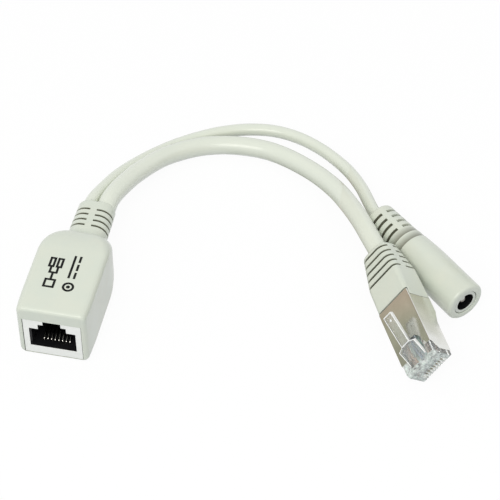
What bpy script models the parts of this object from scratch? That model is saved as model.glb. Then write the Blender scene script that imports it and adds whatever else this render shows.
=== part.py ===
"""Power over ethernet injector lead.

A moulded RJ45 socket whose two cables end in a shielded RJ45 plug and a DC barrel socket.
Metres, +Z up. The socket housing stands on z = 0 with its centre on the origin and its
opening towards -Y. The cables run out of its rear neck and curve round to +X.
"""
import math

import bmesh
import bpy
from mathutils import Euler, Matrix, Vector

for leftover in list(bpy.data.objects):
    bpy.data.objects.remove(leftover, do_unlink=True)

MM = 0.001
GAP = 0.3 * MM            # clearance kept between pieces that touch on the real object
POCKET_GAP = 0.15 * MM    # clearance of an insert in its moulded pocket
CORNER_STEPS = 5          # points per rounded corner, less one

# Socket housing
HOUSING_WIDTH = 19.6 * MM
HOUSING_FRONT_WALL = 1.35 * MM
HOUSING_SWELL_LENGTH = 8.0 * MM
HOUSING_HEIGHT = 18.0 * MM
HOUSING_BODY_LENGTH = 23.0 * MM
HOUSING_DOME_LENGTH = 10.6 * MM
HOUSING_CORNER = 1.8 * MM
HOUSING_FRONT_EDGE = 1.1 * MM
HOUSING_FLOOR = 0.8 * MM
DOME_CORNER_GAIN = 3.4 * MM
NECK_LENGTH = 13.8 * MM
NECK_WIDTH = 11.2 * MM
NECK_HEIGHT = 7.6 * MM
NECK_TAPER = 0.6 * MM
NECK_END_EDGE = 0.5 * MM
NECK_SLOT_ROWS = 4
NECK_SLOT_PITCH = 2.08 * MM
NECK_FIRST_SLOT = 4.1 * MM
SLOT_WIDTH = 0.55 * MM
SLOT_DEPTH = 0.75 * MM
RIB_WIDTH = 1.9 * MM
HOUSING_LENGTH = HOUSING_BODY_LENGTH + HOUSING_DOME_LENGTH + NECK_LENGTH
FACE_Y = -HOUSING_LENGTH / 2
MID_HEIGHT = HOUSING_HEIGHT / 2

# Modular jack insert and its contacts
INSERT_WIDTH = 15.9 * MM
INSERT_HEIGHT = 12.8 * MM
INSERT_DEPTH = 18.0 * MM
INSERT_RECESS = 0.15 * MM
HOUSING_FRONT_WIDTH = INSERT_WIDTH + 2 * (POCKET_GAP + HOUSING_FRONT_WALL)
JACK_WIDTH = 12.0 * MM
JACK_FLOOR = 2.7 * MM
JACK_HEIGHT = 6.9 * MM
JACK_DEPTH = 13.5 * MM
JACK_LEAD_IN = 0.35 * MM
JACK_LEAD_IN_DEPTH = 0.8 * MM
LATCH_STEP_WIDTH = 7.7 * MM
LATCH_STEP_HEIGHT = 1.75 * MM
LATCH_NOTCH_WIDTH = 4.85 * MM
CONTACTS = 8
CONTACT_PITCH = 1.016 * MM
CONTACT_WIDTH = 0.36 * MM
CONTACT_THICKNESS = 0.3 * MM
CONTACT_BEND = 0.55 * MM
CONTACT_BEND_DEPTH = 3.6 * MM
CONTACT_TIP_RISE = 4.0 * MM
CONTACT_TIP_DEPTH = 12.4 * MM
GROOVE_WIDTH = 0.68 * MM
GROOVE_DEPTH = 1.7 * MM
GUIDE_DEPTH = 1.2 * MM
TAIL_HEIGHT = 0.45 * MM
CARRIER_DEPTH = 3.4 * MM
CARRIER_HEIGHT = 9.0 * MM
CARRIER_MARGIN = 0.5 * MM
POCKET_REAR_GAP = 0.5 * MM
POCKET_DEPTH = INSERT_RECESS + INSERT_DEPTH + POCKET_GAP + CARRIER_DEPTH + POCKET_REAR_GAP
SPLICE_WIDTH = 12.0 * MM
SPLICE_HEIGHT = 11.2 * MM
SPLICE_FLOOR = 1.7 * MM
SPLICE_DEPTH = 7.0 * MM
SPLICE_CORNER = 2.0 * MM

# Cables
DATA_DIAMETER = 5.5 * MM
POWER_DIAMETER = 3.6 * MM
DATA_OFFSET = 2.25 * MM
POWER_OFFSET = -2.75 * MM
DATA_BORE = 3.5 * MM
POWER_BORE = 2.5 * MM
WIRE_DIAMETER = 0.9 * MM
WIRE_SPREAD = 0.66 * MM
LEAD_DIAMETER = 0.9 * MM
LEAD_SPREAD = 0.65 * MM
LINK_LENGTH = 1.0 * MM
LINK_HEIGHT = 0.6 * MM
CABLE_STEP = 2.2 * MM         # distance between the points of a cable's route
WIRE_STEP = 1.9 * MM
WIRE_STRAIGHT = 4.0 * MM

# Shielded plug, in its own frame: nose face at y = 0, +Y to the cable, +Z to the latch side
PLUG_NOSE = Vector((99.3, -12.5, 7.0)) * MM
PLUG_YAW = math.radians(28.9)
PLUG_PITCH = math.radians(2.8)
PLUG_ROLL = math.radians(-53.9)
PLUG_WIDTH = 11.3 * MM
PLUG_NOSE_HEIGHT = 6.4 * MM
PLUG_REAR_DROP = 1.3 * MM
PLUG_LENGTH = 20.4 * MM
PLUG_NOSE_EDGE = 0.4 * MM
PLUG_STEP_FRONT = 11.5 * MM
PLUG_STEP_REAR = 15.5 * MM
SHIELD_THICKNESS = 0.25 * MM
SHIELD_CLEARANCE = 0.05 * MM
SHIELD_FOLD = 0.35 * MM
SHIELD_IN_BOOT = 2.0 * MM
SHIELD_TOP_FRONT = 3.7 * MM
SHIELD_SIDE_FRONT = 1.5 * MM
SHIELD_SIDE_CORNER = 2.2 * MM
SHIELD_BELLY_FRONT = 9.2 * MM
SHIELD_WINDOW_WIDTH = 7.4 * MM
SHIELD_WINDOW_REAR = 8.6 * MM
BLADE_SLOT_WIDTH = 0.55 * MM
BLADE_SLOT_LENGTH = 6.6 * MM
BLADE_SLOT_DEPTH = 2.6 * MM
BLADE_THICKNESS = 0.3 * MM
BLADE_LENGTH = 5.6 * MM
BLADE_HEIGHT = 1.9 * MM
BLADE_RECESS = 0.35 * MM
BLADE_FRONT = 0.5 * MM
WIRE_CHANNEL_HEIGHT = 1.5 * MM
WIRE_CHANNEL_FLOOR = 2.95 * MM
CORD_CHAMBER_FRONT = 9.6 * MM
CORD_CHAMBER_WIDTH = 9.2 * MM
CORD_CHAMBER_HEIGHT = 5.1 * MM
CORD_CHAMBER_CORNER = 1.2 * MM
PLUG_WIRE_DIAMETER = 0.84 * MM
PLUG_BUNDLE_RADIUS = 1.4 * MM
PLUG_BUNDLE_START = 8.4 * MM    # from the front of the cord chamber
LATCH_ROOT = 0.9 * MM
LATCH_WIDE = 6.1 * MM
LATCH_NARROW = 3.0 * MM
LATCH_SHOULDER = 5.9 * MM
LATCH_END = 16.0 * MM
LATCH_SHOULDER_LIFT = 2.2 * MM
LATCH_END_LIFT = 4.5 * MM
LATCH_THICKNESS = 0.95 * MM

# Plug boot
BOOT_FRONT = 20.0 * MM
BOOT_LENGTH = 20.7 * MM
BOOT_WIDTH = 12.2 * MM
BOOT_TOP = 3.5 * MM
BOOT_BELLY = 5.0 * MM
BOOT_REAR_WIDTH = 9.6 * MM
BOOT_REAR_HEIGHT = 7.6 * MM
BOOT_SLOT_ROWS = 5
BOOT_SLOT_PITCH = 2.1 * MM
BOOT_FIRST_SLOT = 10.8 * MM
BOOT_RIB_WIDTH = 1.8 * MM
BOOT_RIB_RISE = 0.9 * MM
BOOT_CABLE_Z = -0.7 * MM
BOOT_STRAIGHT = 10.4 * MM
BOOT_END_EDGE = 0.7 * MM
BOOT_BORE = 4.1 * MM

# DC barrel socket, in its own frame: opening at y = 0, +Y to the cable
SOCKET_FACE = Vector((105.6, 12.7, 5.82)) * MM
SOCKET_YAW = math.radians(46.5)
SOCKET_LENGTH = 39.0 * MM
SOCKET_RADIUS = 5.8 * MM
SOCKET_FACE_EDGE = 0.9 * MM
SOCKET_STEP_B = 23.4 * MM
SOCKET_STEP_A = 26.0 * MM
SOCKET_STEP_RISE = 0.16 * MM
SOCKET_SHOULDER = 19.0 * MM
SOCKET_SHOULDER_DROP = 0.12 * MM
SOCKET_NECK_RADIUS = 5.05 * MM
SOCKET_REAR_RADIUS = 4.5 * MM
SOCKET_SLOT_ROWS = 4
SOCKET_SLOT_WIDTH = 0.9 * MM
SOCKET_SLOT_PITCH = 2.36 * MM
SOCKET_LAST_SLOT = 36.1 * MM
SOCKET_RIB_WIDTH = 1.4 * MM
SOCKET_INSERT_RADIUS = 3.6 * MM
SOCKET_INSERT_LENGTH = 13.0 * MM
SOCKET_INSERT_RECESS = 0.2 * MM
SOCKET_TERMINAL_SPACE = 2.4 * MM
SOCKET_CHAMBER_RADIUS = 2.4 * MM
SOCKET_CHAMBER_END = 6.0 * MM
SOCKET_HOLE_RADIUS = 2.7 * MM
SOCKET_HOLE_LIP = 0.15 * MM
SOCKET_HOLE_DEPTH = 10.0 * MM
SOCKET_PIN_RADIUS = 1.05 * MM
SOCKET_PIN_FRONT = 1.0 * MM
SOCKET_PIN_TAIL = 15.5 * MM
SOCKET_SPRING_WIDTH = 1.8 * MM
SOCKET_SPRING_THICKNESS = 0.3 * MM
SOCKET_SPRING_REST = 0.32 * MM
SOCKET_SPRING_SEAT = 0.6 * MM


def surface(name, colour, roughness, metallic=0.0, transmission=0.0):
    """A Principled material that several pieces may share."""
    material = bpy.data.materials.new(name)
    material.use_nodes = True
    shader = material.node_tree.nodes["Principled BSDF"]
    shader.inputs["Base Color"].default_value = (*colour, 1.0)
    shader.inputs["Roughness"].default_value = roughness
    shader.inputs["Metallic"].default_value = metallic
    shader.inputs["Transmission Weight"].default_value = transmission
    material.diffuse_color = (*colour, 1.0)
    return material


SLEEVE = surface("soft_pvc", (0.69, 0.72, 0.62), 0.45)
JACK_WHITE = surface("jack_plastic", (0.84, 0.86, 0.82), 0.4)
GOLD = surface("gold_plate", (0.83, 0.62, 0.28), 0.25, metallic=1.0)
NICKEL = surface("nickel_plate", (0.66, 0.64, 0.60), 0.2, metallic=1.0)
CLEAR = surface("clear_plastic", (0.88, 0.90, 0.88), 0.1, transmission=0.9)
COPPER = surface("tinned_copper", (0.72, 0.55, 0.42), 0.35, metallic=1.0)
WIRE_COLOURS = {
    "white_orange": (0.85, 0.62, 0.50), "orange": (0.80, 0.32, 0.08),
    "white_green": (0.62, 0.80, 0.68), "blue": (0.10, 0.28, 0.60),
    "white_blue": (0.62, 0.74, 0.84), "green": (0.08, 0.42, 0.28),
    "white_brown": (0.72, 0.60, 0.52), "brown": (0.30, 0.16, 0.09),
    "red": (0.55, 0.05, 0.04), "black": (0.03, 0.03, 0.03),
}
WIRE_SURFACES = {name: surface("wire_" + name, colour, 0.45) for name, colour in WIRE_COLOURS.items()}
PAIR_ORDER = ("white_orange", "orange", "white_green", "blue", "white_blue", "green", "white_brown", "brown")


def frame_empty(name, place, yaw, pitch=0.0, roll=0.0):
    """An empty that carries the pieces of one cable end: rolled, then pitched, then turned."""
    empty = bpy.data.objects.new(name, None)
    empty.location = place
    empty.rotation_mode = "YXZ"
    empty.rotation_euler = Euler((pitch, roll, yaw), "YXZ")
    bpy.context.scene.collection.objects.link(empty)
    return empty


def frame_matrix(empty):
    return Matrix.Translation(empty.location) @ empty.rotation_euler.to_matrix().to_4x4()


def add_piece(name, bm, material, parent=None, smooth_angle=None):
    """Turn a bmesh into a named object; faces flatter than smooth_angle are shaded smooth."""
    bmesh.ops.recalc_face_normals(bm, faces=bm.faces)
    mesh = bpy.data.meshes.new(name)
    bm.to_mesh(mesh)
    bm.free()
    mesh.materials.append(material)
    piece = bpy.data.objects.new(name, mesh)
    bpy.context.scene.collection.objects.link(piece)
    piece.parent = parent
    if smooth_angle is not None:
        mesh.shade_smooth()
        mesh.set_sharp_from_angle(angle=math.radians(smooth_angle))
    return piece


def combine(piece, cutter, operation="DIFFERENCE"):
    """Cut or join two objects, apply the result to the first and remove the second."""
    modifier = piece.modifiers.new("cut", "BOOLEAN")
    modifier.operation = operation
    modifier.solver = "EXACT"
    modifier.object = cutter
    bpy.context.view_layer.objects.active = piece
    with bpy.context.temp_override(object=piece, active_object=piece, selected_objects=[piece]):
        bpy.ops.object.modifier_apply(modifier=modifier.name)
    bpy.data.objects.remove(cutter, do_unlink=True)
    return piece


def rounded_outline(half_width, half_height, radius, centre_z=0.0):
    """Points (x, z) round a rectangle with arc corners, anticlockwise from the +X side."""
    radius = min(radius, half_width, half_height)
    points = []
    for corner, (sx, sz) in enumerate(((1, -1), (1, 1), (-1, 1), (-1, -1))):
        centre = (sx * (half_width - radius), centre_z + sz * (half_height - radius))
        start = math.radians(-90 + 90 * corner)
        for step in range(CORNER_STEPS + 1):
            angle = start + math.radians(90) * step / CORNER_STEPS
            points.append((centre[0] + radius * math.cos(angle), centre[1] + radius * math.sin(angle)))
    return points


def loft(rings):
    """A closed solid through rings of equal count, each a list of 3-D points."""
    bm = bmesh.new()
    loops = [[bm.verts.new(point) for point in ring] for ring in rings]
    for near, far in zip(loops, loops[1:]):
        for index in range(len(near)):
            after = (index + 1) % len(near)
            bm.faces.new((near[index], near[after], far[after], far[index]))
    bm.faces.new(loops[0])
    bm.faces.new(loops[-1])
    return bm


def section_ring(outline, y):
    return [(x, y, z) for x, z in outline]


def add_prism(bm, outline, axis, low, high):
    """Extrude a closed outline of (a, b) points between two planes of an axis, into bm."""
    def place(a, b, level):
        return {"x": (level, a, b), "y": (a, level, b), "z": (a, b, level)}[axis]
    near = [bm.verts.new(place(a, b, low)) for a, b in outline]
    far = [bm.verts.new(place(a, b, high)) for a, b in outline]
    for index in range(len(outline)):
        after = (index + 1) % len(outline)
        bm.faces.new((near[index], near[after], far[after], far[index]))
    bm.faces.new(near)
    bm.faces.new(far)


def prism(outline, axis, low, high):
    bm = bmesh.new()
    add_prism(bm, outline, axis, low, high)
    return bm


def box_outline(a_low, a_high, b_low, b_high):
    return [(a_low, b_low), (a_high, b_low), (a_high, b_high), (a_low, b_high)]


def cylinder_bm(radius, y_low, y_high, x=0.0, z=0.0, steps=24):
    angles = [math.tau * step / steps for step in range(steps)]
    outline = [(x + radius * math.cos(a), z + radius * math.sin(a)) for a in angles]
    return prism(outline, "y", y_low, y_high)


def turned(profile, steps=40):
    """Spin (radius, y) points about the Y axis into a solid; radius 0 ends close on the axis."""
    bm = bmesh.new()
    rows = []
    for radius, y in profile:
        if radius == 0.0:
            rows.append([bm.verts.new((0.0, y, 0.0))])
            continue
        angles = [math.tau * step / steps for step in range(steps)]
        rows.append([bm.verts.new((radius * math.cos(a), y, radius * math.sin(a))) for a in angles])
    for near, far in zip(rows, rows[1:]):
        for index in range(steps):
            after = (index + 1) % steps
            if len(near) == 1:
                bm.faces.new((near[0], far[after], far[index]))
            elif len(far) == 1:
                bm.faces.new((near[index], near[after], far[0]))
            else:
                bm.faces.new((near[index], near[after], far[after], far[index]))
    return bm


def slot_pair(bm, outline, y, width, depth, rib, rib_axis, rib_rise=0.0):
    """Two C-shaped cutters round one section, parted by ribs of the given width.

    outline is the section's own outline; rib_axis says where the ribs lie: "z" for the top and
    bottom of the section, "x" for its two sides. rib_rise moves them off the section's middle.
    """
    def split(point):
        return point[0] if rib_axis == "z" else point[1]
    centre_x = sum(p[0] for p in outline) / len(outline)
    centre_z = sum(p[1] for p in outline) / len(outline)
    count = len(outline)

    def shifted(distance):
        moved = []
        for index in range(count):
            before, after = Vector(outline[index - 1]), Vector(outline[(index + 1) % count])
            along = (after - before).normalized()
            moved.append((outline[index][0] + along.y * distance, outline[index][1] - along.x * distance))
        return moved
    inner, outer = shifted(-depth), shifted(1.5 * MM)
    middle = (centre_x if rib_axis == "z" else centre_z) + rib_rise
    for side in (1, -1):
        keep = [i for i in range(count) if side * (split(outline[i]) - middle) > rib / 2]
        gap_at = next(k for k in range(len(keep)) if (keep[k] - keep[k - 1]) % count != 1)
        keep = keep[gap_at:] + keep[:gap_at]
        limit = middle + side * rib / 2

        def end_point(ring, kept, neighbour):
            here, there = Vector(ring[kept]), Vector(ring[neighbour % count])
            share = (limit - split(here)) / (split(there) - split(here))
            return tuple(here.lerp(there, max(0.0, min(1.0, share))))
        first, last = keep[0], keep[-1]
        path_in = [end_point(inner, first, first - 1)] + [inner[i] for i in keep]
        path_in.append(end_point(inner, last, last + 1))
        path_out = [end_point(outer, first, first - 1)] + [outer[i] for i in keep]
        path_out.append(end_point(outer, last, last + 1))
        add_prism(bm, path_out + path_in[::-1], "y", y - width / 2, y + width / 2)


def smooth_route(points, spacing):
    """Points at equal steps on a Catmull-Rom curve through hand-chosen route points."""
    points = [Vector(p) for p in points]
    padded = [2 * points[0] - points[1]] + points + [2 * points[-1] - points[-2]]
    dense = []
    for p0, p1, p2, p3 in zip(padded, padded[1:], padded[2:], padded[3:]):
        for step in range(24):
            t = step / 24
            dense.append(0.5 * (2 * p1 + (p2 - p0) * t + (2 * p0 - 5 * p1 + 4 * p2 - p3) * t * t
                                + (3 * p1 - p0 - 3 * p2 + p3) * t ** 3))
    dense.append(points[-1])
    total = sum((b - a).length for a, b in zip(dense, dense[1:]))
    count = max(2, round(total / spacing))
    route, travelled, target = [dense[0]], 0.0, total / count
    for a, b in zip(dense, dense[1:]):
        length = (b - a).length
        while length and travelled + length >= target * (1 - 1e-9) and len(route) < count:
            route.append(a.lerp(b, (target - travelled) / length))
            target += total / count
        travelled += length
    return route + [dense[-1]]


def tube(name, route, diameter, material, resolution=2):
    """A round cable or wire: a poly curve with a bevel and filled ends."""
    curve = bpy.data.curves.new(name, "CURVE")
    curve.dimensions = "3D"
    curve.bevel_depth = diameter / 2
    curve.bevel_resolution = resolution
    curve.use_fill_caps = True
    spline = curve.splines.new("POLY")
    spline.points.add(len(route) - 1)
    for point, place in zip(spline.points, route):
        point.co = (*place, 1.0)
    curve.materials.append(material)
    piece = bpy.data.objects.new(name, curve)
    bpy.context.scene.collection.objects.link(piece)
    return piece


def contact_x(number, pitch=CONTACT_PITCH):
    """Place of contact 1 to 8 across the width; 1 is on the -X side."""
    return (number - (CONTACTS + 1) / 2) * pitch


# Socket housing: one soft overmoulding with a pocket for the insert and a slotted neck.

def housing_section(along):
    """Half width, half height and corner radius of the housing at a distance from its face."""
    dome_start = HOUSING_BODY_LENGTH
    neck_start = dome_start + HOUSING_DOME_LENGTH
    if along <= dome_start:
        swell = min(1.0, along / HOUSING_SWELL_LENGTH)
        gain = (HOUSING_WIDTH - HOUSING_FRONT_WIDTH) * math.sin(swell * math.pi / 2)
        half_width = (HOUSING_FRONT_WIDTH + gain) / 2
        return half_width, HOUSING_HEIGHT / 2, HOUSING_CORNER
    if along < neck_start:
        u = (along - dome_start) / HOUSING_DOME_LENGTH
        half_width = NECK_WIDTH / 2 + (HOUSING_WIDTH - NECK_WIDTH) / 2 * (1 - u ** 2.2) ** (1 / 2.2)
        half_height = NECK_HEIGHT / 2 + (HOUSING_HEIGHT - NECK_HEIGHT) / 2 * (1 - u ** 2) ** 0.5
        return half_width, half_height, HOUSING_CORNER + DOME_CORNER_GAIN * u ** 1.2
    taper = NECK_TAPER * (along - neck_start) / NECK_LENGTH
    return (NECK_WIDTH - taper) / 2, (NECK_HEIGHT - taper) / 2, NECK_HEIGHT / 2


def housing_ring(along, inset=0.0):
    half_width, half_height, radius = housing_section(along)
    corner = max(radius - inset, 0.3 * MM)
    return rounded_outline(half_width - inset, half_height - inset, corner, MID_HEIGHT)


def build_housing():
    rings = []
    for step in range(4):
        angle = math.radians(30 * step)
        inset = HOUSING_FRONT_EDGE * (1 - math.sin(angle))
        along = HOUSING_FRONT_EDGE * (1 - math.cos(angle))
        rings.append(section_ring(housing_ring(along, inset), FACE_Y + along))
    middle = (HOUSING_SWELL_LENGTH + HOUSING_BODY_LENGTH) / 2
    for along in (HOUSING_SWELL_LENGTH / 2, HOUSING_SWELL_LENGTH, middle, HOUSING_BODY_LENGTH):
        rings.append(section_ring(housing_ring(along), FACE_Y + along))
    dome_steps = 10
    for step in range(1, dome_steps + 1):
        along = HOUSING_BODY_LENGTH + HOUSING_DOME_LENGTH * math.sin(math.radians(90) * step / dome_steps)
        if step == dome_steps:
            along += 0.02 * MM
        rings.append(section_ring(housing_ring(along), FACE_Y + along))
    edge = NECK_END_EDGE
    for inset, back in ((0.0, edge), (0.3 * edge, 0.3 * edge), (edge, 0.0)):
        rings.append(section_ring(housing_ring(HOUSING_LENGTH - back, inset), FACE_Y + HOUSING_LENGTH - back))
    housing = add_piece("socket_housing", loft(rings), SLEEVE)

    pocket = bmesh.new()
    half = INSERT_WIDTH / 2 + POCKET_GAP
    add_prism(pocket, box_outline(-half, half, HOUSING_FLOOR - POCKET_GAP,
                                  HOUSING_FLOOR + INSERT_HEIGHT + POCKET_GAP),
              "y", FACE_Y - 1 * MM, FACE_Y + POCKET_DEPTH)
    combine(housing, add_piece("pocket_cutter", pocket, SLEEVE))
    splice = rounded_outline(SPLICE_WIDTH / 2, SPLICE_HEIGHT / 2, SPLICE_CORNER,
                             SPLICE_FLOOR + SPLICE_HEIGHT / 2)
    combine(housing, add_piece("splice_cutter", prism(splice, "y", FACE_Y + POCKET_DEPTH - 1 * MM,
                                                      FACE_Y + POCKET_DEPTH + SPLICE_DEPTH), SLEEVE))
    for offset, bore in ((DATA_OFFSET, DATA_BORE), (POWER_OFFSET, POWER_BORE)):
        hole = cylinder_bm(bore / 2, FACE_Y + POCKET_DEPTH + SPLICE_DEPTH - 1 * MM,
                           FACE_Y + HOUSING_LENGTH + 1 * MM, offset, MID_HEIGHT, 20)
        combine(housing, add_piece("bore_cutter", hole, SLEEVE))
    slots = bmesh.new()
    for row in range(NECK_SLOT_ROWS):
        along = HOUSING_BODY_LENGTH + HOUSING_DOME_LENGTH + NECK_FIRST_SLOT + row * NECK_SLOT_PITCH
        slot_pair(slots, housing_ring(along), FACE_Y + along, SLOT_WIDTH, SLOT_DEPTH, RIB_WIDTH, "z")
    combine(housing, add_piece("slot_cutter", slots, SLEEVE))
    housing.data.shade_smooth()
    housing.data.set_sharp_from_angle(angle=math.radians(35))
    return housing


# Modular jack: the white insert, its rear carrier and eight sprung contacts.

INSERT_FRONT = FACE_Y + INSERT_RECESS
INSERT_BOTTOM = HOUSING_FLOOR
INSERT_TOP = HOUSING_FLOOR + INSERT_HEIGHT
JACK_FLOOR_Z = INSERT_BOTTOM + JACK_FLOOR
JACK_CEILING_Z = JACK_FLOOR_Z + JACK_HEIGHT
LATCH_STEP_Z = JACK_CEILING_Z + LATCH_STEP_HEIGHT


def jack_opening(widen):
    """Stepped opening of the jack: contact space, latch step and latch notch through the top."""
    half = JACK_WIDTH / 2 + widen
    step = LATCH_STEP_WIDTH / 2
    notch = LATCH_NOTCH_WIDTH / 2
    top = INSERT_TOP + 1 * MM
    right = [(half, JACK_FLOOR_Z), (half, JACK_CEILING_Z), (step, JACK_CEILING_Z), (step, LATCH_STEP_Z),
             (notch, LATCH_STEP_Z), (notch, top)]
    return right + [(-x, z) for x, z in reversed(right)]


def build_insert():
    half = INSERT_WIDTH / 2
    body = prism(box_outline(-half, half, INSERT_BOTTOM, INSERT_TOP), "y",
                 INSERT_FRONT, INSERT_FRONT + INSERT_DEPTH)
    insert = add_piece("jack_insert", body, JACK_WHITE)
    combine(insert, add_piece("opening_cutter", prism(jack_opening(0.0), "y", INSERT_FRONT - 1 * MM,
                                                      INSERT_FRONT + JACK_DEPTH), JACK_WHITE))
    combine(insert, add_piece("lead_in_cutter", prism(jack_opening(JACK_LEAD_IN), "y", INSERT_FRONT - 1 * MM,
                                                      INSERT_FRONT + JACK_LEAD_IN_DEPTH), JACK_WHITE))
    grooves = bmesh.new()
    front = INSERT_FRONT + CONTACT_BEND_DEPTH - CONTACT_BEND - 0.5 * MM
    for number in range(1, CONTACTS + 1):
        x = contact_x(number)
        add_prism(grooves, box_outline(x - GROOVE_WIDTH / 2, x + GROOVE_WIDTH / 2,
                                       JACK_FLOOR_Z - GROOVE_DEPTH, JACK_FLOOR_Z + 0.5 * MM),
                  "y", front, INSERT_FRONT + INSERT_DEPTH + 1 * MM)
    combine(insert, add_piece("groove_cutter", grooves, JACK_WHITE))
    guides = bmesh.new()
    for number in range(1, CONTACTS + 1):
        x = contact_x(number)
        add_prism(guides, box_outline(x - GROOVE_WIDTH / 2, x + GROOVE_WIDTH / 2,
                                      JACK_FLOOR_Z - 0.2 * MM, JACK_CEILING_Z - 0.8 * MM),
                  "y", INSERT_FRONT + JACK_DEPTH - 0.5 * MM, INSERT_FRONT + JACK_DEPTH + GUIDE_DEPTH)
    combine(insert, add_piece("guide_cutter", guides, JACK_WHITE))
    return insert


CARRIER_FRONT = INSERT_FRONT + INSERT_DEPTH + POCKET_GAP
TAIL_Z = JACK_FLOOR_Z - GROOVE_DEPTH + TAIL_HEIGHT


def build_carrier():
    half = INSERT_WIDTH / 2 - CARRIER_MARGIN
    carrier = add_piece("contact_carrier", prism(
        box_outline(-half, half, INSERT_BOTTOM, INSERT_BOTTOM + CARRIER_HEIGHT), "y",
        CARRIER_FRONT, CARRIER_FRONT + CARRIER_DEPTH), JACK_WHITE)
    holes = bmesh.new()
    for number in range(1, CONTACTS + 1):
        x = contact_x(number)
        add_prism(holes, box_outline(x - GROOVE_WIDTH / 2, x + GROOVE_WIDTH / 2,
                                     TAIL_Z - 0.4 * MM, TAIL_Z + 0.4 * MM),
                  "y", CARRIER_FRONT - 1 * MM, CARRIER_FRONT + CARRIER_DEPTH + 1 * MM)
    return combine(carrier, add_piece("tail_cutter", holes, JACK_WHITE))


CONTACT_TAIL_Y = CARRIER_FRONT + CARRIER_DEPTH - 0.2 * MM


def ribbon_outline(path, thickness):
    """The closed outline of a strip of even thickness that follows a path of 2-D points."""
    left, right = [], []
    for index, point in enumerate(path):
        before = Vector(path[max(index - 1, 0)])
        after = Vector(path[min(index + 1, len(path) - 1)])
        along = (after - before).normalized()
        normal = Vector((-along.y, along.x)) * thickness / 2
        left.append(tuple(Vector(point) + normal))
        right.append(tuple(Vector(point) - normal))
    return left + right[::-1]


def build_jack_contacts():
    bend_y = INSERT_FRONT + CONTACT_BEND_DEPTH
    centre_z = TAIL_Z + CONTACT_BEND
    tip = (INSERT_FRONT + CONTACT_TIP_DEPTH, JACK_FLOOR_Z + CONTACT_TIP_RISE)
    slope = math.atan2(tip[1] - (centre_z + CONTACT_BEND), tip[0] - bend_y)
    path = [(CONTACT_TAIL_Y, TAIL_Z), (bend_y + 2 * MM, TAIL_Z)]
    for step in range(7):
        angle = -math.pi / 2 - (math.pi - slope) * step / 6
        path.append((bend_y + CONTACT_BEND * math.cos(angle), centre_z + CONTACT_BEND * math.sin(angle)))
    path += [((path[-1][0] + tip[0]) / 2, (path[-1][1] + tip[1]) / 2), tip]
    for number in range(1, CONTACTS + 1):
        x = contact_x(number)
        strip = prism(ribbon_outline(path, CONTACT_THICKNESS), "x",
                      x - CONTACT_WIDTH / 2, x + CONTACT_WIDTH / 2)
        add_piece(f"jack_contact_{number}", strip, GOLD)


def build_housing_wires():
    """Two data pairs and the two power leads, from the contact tails into the neck's bores."""
    start_y = CARRIER_FRONT + CARRIER_DEPTH + GAP
    bore_y = FACE_Y + POCKET_DEPTH + SPLICE_DEPTH - 0.6 * MM
    middle_y = (start_y + bore_y) / 2
    end_y = FACE_Y + HOUSING_LENGTH
    spots = {1: (-1, 1), 2: (-1, -1), 3: (1, -1), 6: (1, 1)}
    for number, (sx, sz) in spots.items():
        x, z = DATA_OFFSET + sx * WIRE_SPREAD, MID_HEIGHT + sz * WIRE_SPREAD
        start_z = TAIL_Z + WIRE_DIAMETER / 2
        route = [(contact_x(number), start_y, start_z),
                 (contact_x(number), start_y + 1.0 * MM, start_z + 0.6 * MM),
                 ((contact_x(number) + x) / 2, middle_y, z + sz * 0.3 * MM),
                 (x, bore_y, z), (x, bore_y + WIRE_STRAIGHT, z), (x, end_y, z)]
        tube(f"data_wire_{number}", smooth_route(route, WIRE_STEP), WIRE_DIAMETER,
             WIRE_SURFACES[PAIR_ORDER[number - 1]], 1)
    for name, (first, second), sz, colour in (("positive", (4, 5), 1, "red"),
                                              ("negative", (7, 8), -1, "black")):
        low, high = contact_x(first) - 0.3 * MM, contact_x(second) + 0.3 * MM
        link_y = start_y - 0.1 * MM
        link = prism(box_outline(low, high, TAIL_Z - LINK_HEIGHT / 2, TAIL_Z + LINK_HEIGHT / 2),
                     "y", link_y, link_y + LINK_LENGTH)
        add_piece("power_link_" + name, link, COPPER)
        x, z = POWER_OFFSET, MID_HEIGHT + sz * LEAD_SPREAD
        middle = (low + high) / 2
        lead_y = link_y + LINK_LENGTH + GAP
        route = [(middle, lead_y, TAIL_Z + 0.1 * MM), (middle, lead_y + 0.8 * MM, TAIL_Z + 0.2 * MM),
                 ((middle + x) / 2, middle_y + 0.6 * MM, TAIL_Z + (2.7 + sz * 1.4) * MM),
                 (x, bore_y, z), (x, bore_y + WIRE_STRAIGHT, z), (x, end_y, z)]
        tube("power_lead_" + name, smooth_route(route, WIRE_STEP), LEAD_DIAMETER, WIRE_SURFACES[colour], 1)


# Shielded plug: clear body with comb and latch, folded shield, blades, conductors and boot.

def plug_belly(y):
    """Depth of the plug's contact side below its centre plane, at a distance from the nose."""
    drop = PLUG_REAR_DROP * max(0.0, min(1.0, (y - PLUG_STEP_FRONT) / (PLUG_STEP_REAR - PLUG_STEP_FRONT)))
    return PLUG_NOSE_HEIGHT / 2 + drop


def side_profile(y_low, y_high, top, grow=0.0):
    """Side outline (y, z) of the plug between two distances from the nose."""
    ys = [y_low] + [y for y in (PLUG_STEP_FRONT, PLUG_STEP_REAR) if y_low < y < y_high] + [y_high]
    return [(y, -plug_belly(y) - grow) for y in ys] + [(y_high, top), (y_low, top)]


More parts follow.
